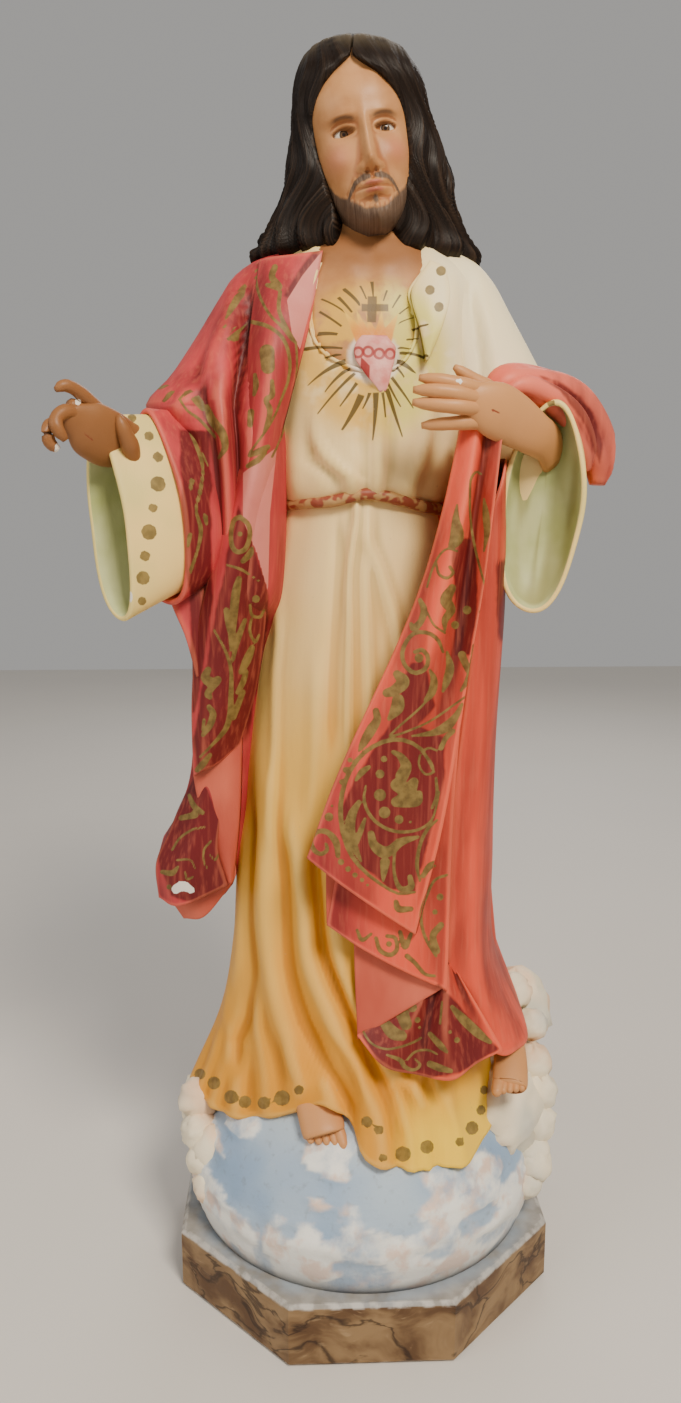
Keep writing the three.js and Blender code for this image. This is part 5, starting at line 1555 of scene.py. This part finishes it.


# %% [markdown]
# ## Paints
#
# The tunic is cream above and gold below, put on with an airbrush, with painted shade in the folds.
# The mantle is a crimson glaze over coral, with the scrollwork in dull gold. Each paint is the same
# recipe: colour by place and by noise, painted shade in the furrows and painted highlights on the
# ridges, then the gilding, the wear and chips.

# %% The emblem on the breast
EMBLEM_SPOT = np.array([3.0, -76, 762])
EMBLEM_PIXEL = pixels(EMBLEM_SPOT[None])[0]
EMBLEM_STEP = [pixels(EMBLEM_SPOT[None] + np.eye(3)[axis])[0] - EMBLEM_PIXEL for axis in (0, 2)]
RAYS = [
    (374,295,0.6,373,278,1.6), (367,297,0.7,361,283,1), (361,304,1.4,344,286,2),
    (352.5,311,1,339,295,1.6), (347,312,0.8,322,296,1), (342,325,1,320,309,1.2),
    (338,333,1.4,318,332,2.2), (343,347.5,1,303,347.5,1.9), (342,353,1.4,320,360,1),
    (346,361,2.8,307.5,385,0.4), (350,367.5,2,325,391.7,0.6), (355,373,1.6,317.5,414,0.6),
    (357,383,1.6,340,406.7,0.6), (361.7,395,3.2,342,431,1), (370,393,1.6,363,409,0.6),
    (376,393,2.6,373,441.7,0.6), (382.5,393,1.4,386,418,0.8), (387,389,2.4,404,437.5,0.6),
    (388,383,1.4,402,406.7,0.6), (392,377,1.6,415,408,0.6), (397,367,1.4,405,376.7,0.8),
    (397.5,360,3,417,373,1), (400,351.7,1.6,428,356.7,1.2), (398,346.7,1.2,412,347.5,0.6),
    (407,338,1,423,337.5,0.6), (413,328,1.2,428,325,1), (397,323,0.8,415,315,0.5),
    (400,312,0.8,410,304,0.6), (393,306,0.6,401.7,291.7,1), (384,299,0.6,388,287.5,1),
]
FLAMES = [
    ((362,337), (345,310), 7), ((366,336), (357,309), 6), ((374,337), (367,313), 6),
    ((380,337), (382,310), 7), ((386,337), (399,311), 7),
]
CROSS = [((373,294), (372,321), 4.6), ((362,306), (389,306), 3.8)]
THORNS = [(358,352.5), (368,352), (379,354), (390,354)]
REACH_UNIT, WIDTH_UNIT = 100, 4


def ray_tables():
    """Two step ramps over the angle, 0 to 1: (angle at the near end, at the far end, near reach)
    and (far reach, near half width, far half width), reaches over 100 and widths over 4 pixels.
    A ray's step starts half way between it and the ray before it."""
    rays = np.array(RAYS)
    near, far = rays[:, :2] - EMBLEM_PIXEL, rays[:, 3:5] - EMBLEM_PIXEL
    near_angle, far_angle = (np.arctan2(-e[:, 1], e[:, 0]) / (2 * np.pi) + 0.5 for e in (near, far))
    far_angle = near_angle + (far_angle - near_angle + 0.5) % 1 - 0.5
    order = np.argsort(near_angle + far_angle)
    mean = ((near_angle + far_angle) / 2)[order]
    starts = np.concatenate([[0], (mean[1:] + mean[:-1]) / 2])
    reach = [np.linalg.norm(end, axis=1) / REACH_UNIT for end in (near, far)]
    first = np.stack([near_angle, far_angle, reach[0]], -1)[order]
    second = np.stack([reach[1], rays[:, 2] / WIDTH_UNIT, rays[:, 5] / WIDTH_UNIT], -1)[order]
    return [list(zip(starts, first)), list(zip(starts, second))]


class Picture:
    """Where the surface round the heart lies in the picture, in pixels."""

    def __init__(self, paint):
        spot = placed(EMBLEM_SPOT)
        per_metre = 1 / (placed(EMBLEM_SPOT + np.eye(3)[0]) - spot)[0]
        self.across = (paint.x - spot[0]) * (EMBLEM_STEP[0][0] * per_metre)
        self.up = (paint.z - spot[2]) * (-EMBLEM_STEP[1][1] * per_metre)
        self.column = self.across + EMBLEM_PIXEL[0]
        self.row = self.up * -1.0 + EMBLEM_PIXEL[1]

    def strip(self, start, end):
        """Share of the way from start to end, and pixels across it."""
        dx, dy = end[0] - start[0], end[1] - start[1]
        square, length = dx * dx + dy * dy, np.hypot(dx, dy)
        a, b = self.column - start[0], self.row - start[1]
        off = (a * (dy / length) - b * (dx / length)).math("ABSOLUTE")
        return a * (dx / square) + b * (dy / square), off


def ray_share(paint, picture, away):
    """1 on the rays: where the way round to a ray's middle line is less than its half width."""
    angle = picture.up.math("ARCTAN2", picture.across) / (2 * np.pi) + 0.5
    outs = []
    for table in ray_tables():
        steps = paint.node("ShaderNodeValToRGB", {"ramp": ("CONSTANT", table)}, {0: angle})
        parts = paint.node("ShaderNodeSeparateColor", values={0: steps.outputs[0]}).outputs
        outs += [Value(paint, part) for part in list(parts)[:3]]
    near_angle, far_angle, near, far, thick, thin = outs
    along = (away * (1 / REACH_UNIT) - near) / (far - near)
    line = near_angle + (far_angle - near_angle) * along
    off = (angle - line).math("ABSOLUTE") * away * (2 * np.pi)
    half = (thick + (thin - thick) * along) * WIDTH_UNIT
    return (half * 1.15 - off).ease(-0.35, 0.45) * along.ease(-0.02, 0.02) * along.ease(1.02, 0.98)


def emblem(paint):
    """Coats of a glow, rays, flames and a cross round the heart."""
    picture = Picture(paint)
    away = (picture.across * picture.across + picture.up * picture.up) ** 0.5
    wobble = (paint.noise(260, 2) - 0.5) * 5
    green = paint.mix(picture.across.ease(-10, 30), (0.74, 0.42, 0.06), (0.74, 0.66, 0.14))
    paint.coat(paint.noise(70, 3).ease(0.3, 0.52) * away.ease(94, 62) * 0.85, green)
    paint.coat((away + wobble).ease(30, 23) * 0.85, (0.80, 0.70, 0.58))
    paint.coat(ray_share(paint, picture, away) * 0.92, (0.085, 0.055, 0.014))
    for base, tip, width in FLAMES:
        share, side = picture.strip(base, tip)
        flame = (width * 1.0 - share * width - (side + wobble * 0.4)).ease(-1, 1)
        fire = paint.mix(share.ease(0.2, 1.0), (0.74, 0.26, 0.02), (0.86, 0.55, 0.08))
        paint.coat(flame * share.ease(-0.15, 0.05) * 0.9, fire)
    for start, end, width in CROSS:
        share, side = picture.strip(start, end)
        bar = (width - side - wobble * 0.15).ease(-0.7, 0.7)
        paint.coat(bar * share.ease(-0.02, 0.02) * share.ease(1.02, 0.98) * 0.92, (0.14, 0.085, 0.028))


def gilding(paint, ragged):
    """Gold paint where the mark ink says so, a little broken by noise: its share and its colour."""
    edge = paint.mark("ink") + (paint.noise(700, 2) - 0.5) * ragged
    dull, bright = (0.115, 0.075, 0.018), (0.23, 0.155, 0.042)
    return edge.ease(0.35, -0.35), paint.mix(paint.noise(180, 3).ease(0.3, 0.7), dull, bright)


# %% Tunic, mantle and sleeves
@recipe
def tunic_paint(paint):
    x, z, ridge = paint.x, paint.z, paint.mark("ridge")
    ochre = (0.74, 0.29, 0.006)
    height = z + paint.noise(14, 2) * 0.10
    paint.ground(height.ease(0.64, 0.44), (0.84, 0.61, 0.27), (0.78, 0.44, 0.07))
    paint.coat(height.ease(0.42, 0.22) * 0.85, ochre)
    # painted shade in the folds: deep brown low down, olive and ochre higher up
    fold_shade = (0.0 - ridge).ease(0.02, 0.5)
    paint.coat(fold_shade * z.ease(0.62, 0.2) * 0.9, (0.36, 0.12, 0.003))
    paint.coat(fold_shade * 0.4, paint.mix(z.ease(0.60, 0.40), (0.40, 0.30, 0.10), ochre))
    # painted light: the tunic lighter on its right shoulder, where the light falls
    paint.coat(x.ease(0.015, 0.06) * z.ease(0.62, 0.70) * 0.8, (0.95, 0.86, 0.58))
    # painted highlight on the ridges of the folds
    paint.coat(ridge.ease(0.05, 0.6) * 0.25, (0.92, 0.66, 0.22))
    # painted light: the lower skirt on the right a brighter yellow, lit from the right
    paint.coat(z.ease(0.20, 0.15) * x.ease(0.005, 0.04) * 0.95, (0.98, 0.62, 0.03))
    emblem(paint)
    paint.coat(paint.noise(240, 4).ease(0.70, 0.78) * 0.35, (0.45, 0.32, 0.17))
    gold, leaf = gilding(paint, 0.9)
    paint.coat(gold * 0.9, leaf)
    paint.finish(paint.satin(0.38), cloth_grain(paint))


@recipe
def mantle_paint(paint):
    x, z, ridge = paint.x, paint.z, paint.mark("ridge")
    crimson = (0.11, 0.006, 0.008)
    paint.ground(x.ease(-0.05, 0.03), (0.54, 0.05, 0.055), (0.76, 0.085, 0.04))
    # painted light on the mantle's upper right, over the rolls
    paint.coat(x.ease(0.06, 0.10) * z.ease(0.60, 0.64) * 0.5, (0.78, 0.24, 0.17))
    # crimson glaze at random, deeper in the furrows as painted shade
    glaze_and_shade = paint.noise(26, 3, (1, 1, 0.35)) + ridge * 0.3
    paint.coat(glaze_and_shade.ease(0.62, 0.34) * 0.55, crimson)
    # painted shade: long upright crimson streaks for the shade of the folds
    paint.coat(paint.noise(34, 3, (1, 1, 0.1)).ease(0.56, 0.36) * 0.45, crimson)
    # crimson of the zones: paint in the scrollwork fields, painted shade in the furrows and the groove
    blot = (paint.noise(60, 3) - 0.5) * 0.9
    paint.coat((paint.mark("crimson") + blot).ease(0.25, 0.75) * 0.92, crimson)
    # painted shade in the mantle's furrows
    paint.furrow_shade(0.1, 0.75, 0.7, (0.05, 0.003, 0.004))
    # painted highlight on the ridges of the mantle
    paint.coat(ridge.ease(0.3, 1.0) * 0.25, (0.80, 0.22, 0.11))
    paint.coat(paint.noise(330, 3, (1, 1, 0.06)).ease(0.45, 0.75) * 0.2, (0.74, 0.18, 0.10))
    pink = paint.mix(paint.noise(40, 3), (0.54, 0.13, 0.11), (0.68, 0.25, 0.20))
    paint.coat(paint.mark("pink").ease(0.4, 0.6), pink)
    gold, leaf = gilding(paint, 0.6)
    paint.coat(gold * (paint.noise(420, 3).ease(0.22, 0.34) * 0.15 + 0.8), leaf)
    chip = paint.chips(2.5)
    paint.finish(paint.satin(0.42) + gold * 0.04, cloth_grain(paint) + gold * 0.25 - chip * 1.5)


@recipe
def lining_paint(paint):
    tone = paint.noise(24, 3, (1, 1, 0.4)).ease(0.3, 0.7)
    paint.ground(tone, (0.45, 0.068, 0.04), (0.62, 0.135, 0.078))
    # painted shade in the lining's furrows
    paint.furrow_shade(0.1, 0.8, 0.7, (0.20, 0.025, 0.015))
    paint.chips(2.5)
    paint.finish(paint.satin(0.4), cloth_grain(paint))


@recipe
def sleeve_paint(paint):
    paint.ground(paint.noise(20, 2).ease(0.35, 0.7), (0.93, 0.67, 0.23), (0.74, 0.60, 0.20))
    # painted shade in the sleeve's furrows
    paint.furrow_shade(0.05, 0.6, 0.5, (0.42, 0.30, 0.07))
    gold, leaf = gilding(paint, 0.9)
    paint.coat(gold * 0.9, leaf)
    paint.chips(1.0)
    paint.finish(paint.satin(0.38), cloth_grain(paint))


@recipe
def green_paint(paint):
    paint.ground(paint.noise(22, 3).ease(0.3, 0.7), (0.36, 0.40, 0.14), (0.56, 0.58, 0.30))
    # painted shade in the folds of the green lining
    paint.furrow_shade(0.02, 0.5, 0.6, (0.20, 0.17, 0.04))
    paint.finish(paint.satin(0.42), cloth_grain(paint))


# %% Skin, eyes, hair
def hair_noise(paint, detail, length):
    """Noise drawn out along the hairs: thin across the mark strand, long in height."""
    inputs = {0: paint.mark("strand") * 0.011, 1: paint.z * length}
    along = paint.node("ShaderNodeCombineXYZ", values=inputs).outputs[0]
    return paint.noise(95, detail, vector=along)


@recipe
def skin_paint(paint):
    x, z, limb = paint.x, paint.z, paint.mark("limb")
    paint.ground(paint.noise(40, 3).ease(0.3, 0.7), (0.40, 0.17, 0.055), (0.53, 0.26, 0.105))
    # painted light and shade: hands and feet darker on the left, lighter on the right
    paint.coat(limb * 0.85, paint.mix(x.ease(-0.12, -0.06), (0.23, 0.09, 0.028), (0.58, 0.27, 0.10)))
    # painted shadow of the head on the neck and chest
    chin_shadow = z.ease(0.790, 0.776) * z.ease(0.745, 0.765)
    paint.coat(chin_shadow * (1.0 - limb) * 0.8, (0.24, 0.095, 0.035))
    # painted shade in the hollows of the skin
    paint.furrow_shade(0.1, 0.8, 0.6, (0.26, 0.075, 0.02))
    paint.coat(paint.mark("blush") * 0.5, (0.60, 0.20, 0.12))
    paint.coat(paint.mark("lips") * 0.8, (0.40, 0.10, 0.07))
    paint.coat(paint.mark("brow") * 0.8, (0.05, 0.028, 0.017))
    hairs = hair_noise(paint, 3, 0.12)
    grey = paint.mix(hairs.ease(0.25, 0.8), (0.05, 0.03, 0.02), (0.15, 0.105, 0.075))
    edge = (hairs - 0.5) * 0.5
    beard = (paint.mark("beard") + edge + (paint.noise(160, 3) - 0.5) * 0.6).ease(0.2, 0.75)
    paint.coat(beard * 0.93, grey)
    plain = paint.colour
    emblem(paint)
    paint.coat(limb, plain)
    wound = (paint.mark("wound") + (paint.noise(500, 2) - 0.5) * 1.5).ease(0.5, -0.5)
    paint.coat(wound * 0.85, (0.20, 0.012, 0.01))
    chip = paint.chips(1.5, 0.3)
    rough = paint.noise(60, 2) * 0.15 + 0.36 + beard * 0.15
    paint.finish(rough, paint.noise(900, 2) * 0.5 + beard * hairs * 1.4 - chip * 1.5 - wound)


@recipe
def eye_paint(paint):
    """White, iris and pupil by the distance from the eye's own axis, in millimetres."""
    spots = [placed(in_head(np.array([k * EYE_X + 0.3, -35.0, EYE_Z - 0.6]))) for k in (-1, 1)]
    parts = [(paint.x - spot[0], paint.z - spot[2]) for spot in spots]
    left, right = ((a * a + b * b) ** 0.5 for a, b in parts)
    near = left.math("MINIMUM", right) * 1000
    paint.ground(near.ease(3.1, 2.7), (0.62, 0.55, 0.46), (0.05, 0.035, 0.02))
    paint.coat(near.ease(2.4, 1.4) * 0.8, (0.14, 0.08, 0.035))
    paint.coat(near.ease(1.3, 1.05), (0.006, 0.005, 0.004))
    paint.coat(paint.noise(800, 1) * 0.06, (0.5, 0.2, 0.15))
    paint.finish(paint.noise(90, 1) * 0.05 + 0.12, paint.noise(500, 1), strength=0.05)


@recipe
def hair_paint(paint):
    hairs = hair_noise(paint, 4, 0.06)
    paint.ground(hairs.ease(0.3, 0.75), (0.004, 0.002, 0.001), (0.019, 0.0095, 0.005))
    # painted light from above: the top of the hair lighter
    top = paint.z.ease(0.885, 0.915) * paint.noise(60, 3).ease(0.3, 0.6)
    paint.coat(top * 0.8, (0.15, 0.115, 0.065))
    # worn paint and painted highlight on the ridges of the locks
    worn_and_highlit = paint.mark("ridge").ease(0.3, 1.0) * hairs.ease(0.4, 0.7)
    paint.coat(worn_and_highlit * 0.28, (0.10, 0.062, 0.038))
    paint.finish(hairs * 0.2 + 0.36, hairs, strength=0.5, distance=0.0012, sheen=0.2)


# %% Sky, clouds, belt and heart
@recipe
def sky_paint(paint):
    z = paint.z
    swirl = (paint.noise(34, 5, rough=0.6) - 0.5) * 1.7
    cloud = paint.mark("cloud") * 0.6 + swirl + z.ease(0.10, 0.065) * 0.35
    paint.ground(paint.noise(12, 2).ease(0.3, 0.7), (0.24, 0.36, 0.54), (0.42, 0.52, 0.62))
    paint.coat(paint.noise(160, 3).ease(0.55, 0.75) * 0.3, (0.18, 0.17, 0.17))
    rose = paint.noise(52, 4).ease(0.48, 0.62) * 0.8
    white = paint.mix(rose, (0.94, 0.92, 0.84), (0.80, 0.52, 0.36))
    paint.coat((cloud + z.ease(0.13, 0.17) * -0.5).ease(0.2, 0.8) * 0.9, white)
    # painted shade on the globe towards its foot, darkest where it meets the plinth
    paint.coat(z.ease(0.10, 0.06) * 0.35, (0.30, 0.33, 0.37))
    paint.coat(z.ease(0.062, 0.050) * 0.7, (0.12, 0.11, 0.10))
    paint.finish(paint.satin(0.5), paint.noise(260, 4), strength=0.6)


@recipe
def cloud_paint(paint):
    grey = paint.noise(14, 2).ease(0.5, 0.7) * 0.6
    paint.ground(grey, (0.88, 0.78, 0.58), (0.50, 0.52, 0.50))
    paint.coat(paint.noise(17, 2).ease(0.48, 0.62) * 0.7, (0.86, 0.56, 0.34))
    # painted shade between the lumps of the clouds
    paint.furrow_shade(0.05, 0.5, 0.5, (0.38, 0.27, 0.18))
    paint.finish(paint.satin(0.55), paint.noise(220, 4), strength=0.5)


@recipe
def belt_paint(paint):
    blobs = paint.noise(150, 1).ease(0.45, 0.55)
    paint.ground(blobs * 0.9, (0.26, 0.06, 0.03), (0.46, 0.27, 0.10))
    paint.finish(paint.satin(0.35), paint.noise(400, 2) + blobs * 0.4)


@recipe
def heart_paint(paint):
    """A chain of thorns across it, the wound and the drops below."""
    picture = Picture(paint)
    paint.ground(paint.noise(120, 3).ease(0.3, 0.7), (0.66, 0.20, 0.17), (0.78, 0.36, 0.31))
    for column, row in THORNS:
        a, b = picture.column - column, picture.row - row
        ring = ((a * a + b * b) ** 0.5 - 4.7).math("ABSOLUTE")
        paint.coat(ring.ease(1.9, 0.9) * 0.85, (0.33, 0.03, 0.03))
    share, side = picture.strip((362, 360), (368, 376))
    wound = (5.0 - side - (share - 0.5).math("ABSOLUTE") * 7).ease(-0.6, 0.8)
    paint.coat(wound * 0.9, (0.27, 0.012, 0.012))
    share, side = picture.strip((365, 372), (364, 391))
    drops = (1.5 - side).ease(-0.6, 0.6) * share.ease(0.0, 0.1) * share.ease(1, 0.9)
    paint.coat(drops, (0.30, 0.02, 0.02))
    paint.finish(paint.satin(0.35), paint.noise(500, 2))


for mesh, needed in pieces:
    for name in needed:
        mesh.materials.append(paints[name])
print("paints", len(paints))

# %% [markdown]
# ## The plinth
#
# The plinth is plaster as well, painted as brown marble on its sides and in silver grey on top. Its
# CAD solid already has the right shape, so it only gets a paint: veins from a noise that is bent
# by another noise, and pale wear where the edges have been knocked.

# %% Faux marble and a silver top
PLINTH_ACROSS = 0.285


@recipe
def plinth_paint(paint):
    """Veins are where a bent noise is near its middle. An edge is near where the distance out to
    an octagon's corner line, or the height, comes close to the solid's limits."""
    x, y, z = paint.x, paint.y, paint.z
    cloudy = paint.node("ShaderNodeTexNoise", values={"Vector": paint.vector, "Scale": 18.0})
    bent = paint.vectors("SCALE", {0: cloudy.outputs["Color"], 3: 0.05})
    bent = paint.vectors("ADD", {0: paint.vector, 1: bent})
    brown = paint.noise(26, 4, (1, 1, 2.2), bent).ease(0.35, 0.65)
    paint.ground(brown, (0.10, 0.05, 0.022), (0.27, 0.17, 0.082))
    vein = (paint.noise(14, 5, (1, 1, 2.5), bent) - 0.5).math("ABSOLUTE").ease(0.03, 0.0)
    paint.coat(vein * 0.8, (0.025, 0.012, 0.007))
    paint.coat(paint.noise(70, 4, (1, 1, 3), bent).ease(0.6, 0.8) * 0.5, (0.42, 0.29, 0.16))
    top = paint.mix(paint.noise(60, 4).ease(0.3, 0.75), (0.24, 0.22, 0.195), (0.37, 0.355, 0.33))
    blue = ((x * x + y * y) ** 0.5).ease(0.148, 0.134) * paint.noise(40, 3).ease(0.3, 0.6)
    upper = z.ease(0.0462, 0.0472)
    paint.coat(upper, paint.mix(blue * 0.5, top, (0.34, 0.44, 0.56)))
    turns = np.radians([0, 45, 90, 135])
    out = [(x * np.cos(turn) + y * np.sin(turn)).math("ABSOLUTE") for turn in turns]
    out = out[0].math("MAXIMUM", out[1]).math("MAXIMUM", out[2].math("MAXIMUM", out[3]))
    rim = (out - (PLINTH_ACROSS / 2 - 0.0040)).ease(0, 0.0012) * z.ease(0.0448, 0.0462)
    paint.coat(rim * paint.noise(120, 4).ease(0.38, 0.62) * 0.6, (0.54, 0.51, 0.47))
    foot = z.ease(0.004, 0.0) * paint.noise(90, 4).ease(0.4, 0.6)
    paint.coat(foot * 0.7, (0.50, 0.42, 0.33))
    rough = upper * -0.08 + paint.noise(50, 2) * 0.2 + 0.42
    paint.finish(rough, paint.noise(160, 4), strength=0.35)


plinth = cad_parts["plinth"]
plinth.data.materials.clear()
plinth.data.materials.append(paints["plinth"])

# %% [markdown]
# ## Floor, light and camera
#
# A pale floor and soft light show a painted surface best. A strong warm light high on the right,
# a wide weak one on the left and one from behind give the folds a light and a dark side without
# hard shadows, and the camera stands where the picture's camera stood.

# %% Stage
@recipe
def studio_floor(paint):
    paint.ground(paint.noise(3, 2), (0.66, 0.63, 0.59), (0.70, 0.67, 0.63))
    paint.finish(paint.noise(20, 2) * 0.1 + 0.75, paint.noise(300, 2), strength=0.05)


HALF_FLOOR = 3.0
floor_corners = [(x * HALF_FLOOR, y * HALF_FLOOR, 0) for x, y in ((-1, -1), (1, -1), (1, 1), (-1, 1))]
floor_mesh = bpy.data.meshes.new("floor")
floor_mesh.from_pydata(floor_corners, [], [(0, 1, 2, 3)])
floor_mesh.materials.append(paints["studio_floor"])
floor = bpy.data.objects.new("floor", floor_mesh)
bpy.context.scene.collection.objects.link(floor)

world = bpy.data.worlds.new("studio")
world.use_nodes = True
background = world.node_tree.nodes["Background"].inputs
background["Color"].default_value, background["Strength"].default_value = (0.90, 0.88, 0.85, 1), 0.42
bpy.context.scene.world = world


LIT_POINT = Vector((0, 0, 0.5))


def soft_light(name, place, size, power, colour):
    """A square lamp that looks at the middle of the statue."""
    lamp = bpy.data.lights.new(name, "AREA")
    lamp.size, lamp.energy, lamp.color = size, power, colour
    light = bpy.data.objects.new(name, lamp)
    light.location = place
    light.rotation_mode = "QUATERNION"
    light.rotation_quaternion = (LIT_POINT - Vector(place)).to_track_quat("-Z", "Y")
    bpy.context.scene.collection.objects.link(light)


soft_light("key", (0.6, -1.5, 2.0), 0.6, 60, (1.0, 0.90, 0.76))
soft_light("fill", (-1.6, -1.1, 1.3), 1.2, 13, (1.0, 0.93, 0.84))
soft_light("rim", (0.4, 1.8, 1.6), 1.2, 12, (1.0, 0.98, 0.96))

SENSOR = 36
lens = bpy.data.cameras.new("camera")
lens.sensor_width = SENSOR
lens.lens = SENSOR * FOCAL_PIXELS / max(IMAGE)
lens.clip_start = 0.01
camera = bpy.data.objects.new("camera", lens)
camera.location = placed(EYE)
camera.rotation_mode = "QUATERNION"
camera.rotation_quaternion = Vector(AHEAD).to_track_quat("-Z", "Y")
bpy.context.scene.collection.objects.link(camera)
bpy.context.scene.camera = camera
print("lens", round(lens.lens, 2), "mm")

# %% Sizes and the end
print("cad box", [round(v, 4) for v in (*cad_low, *cad_high)])
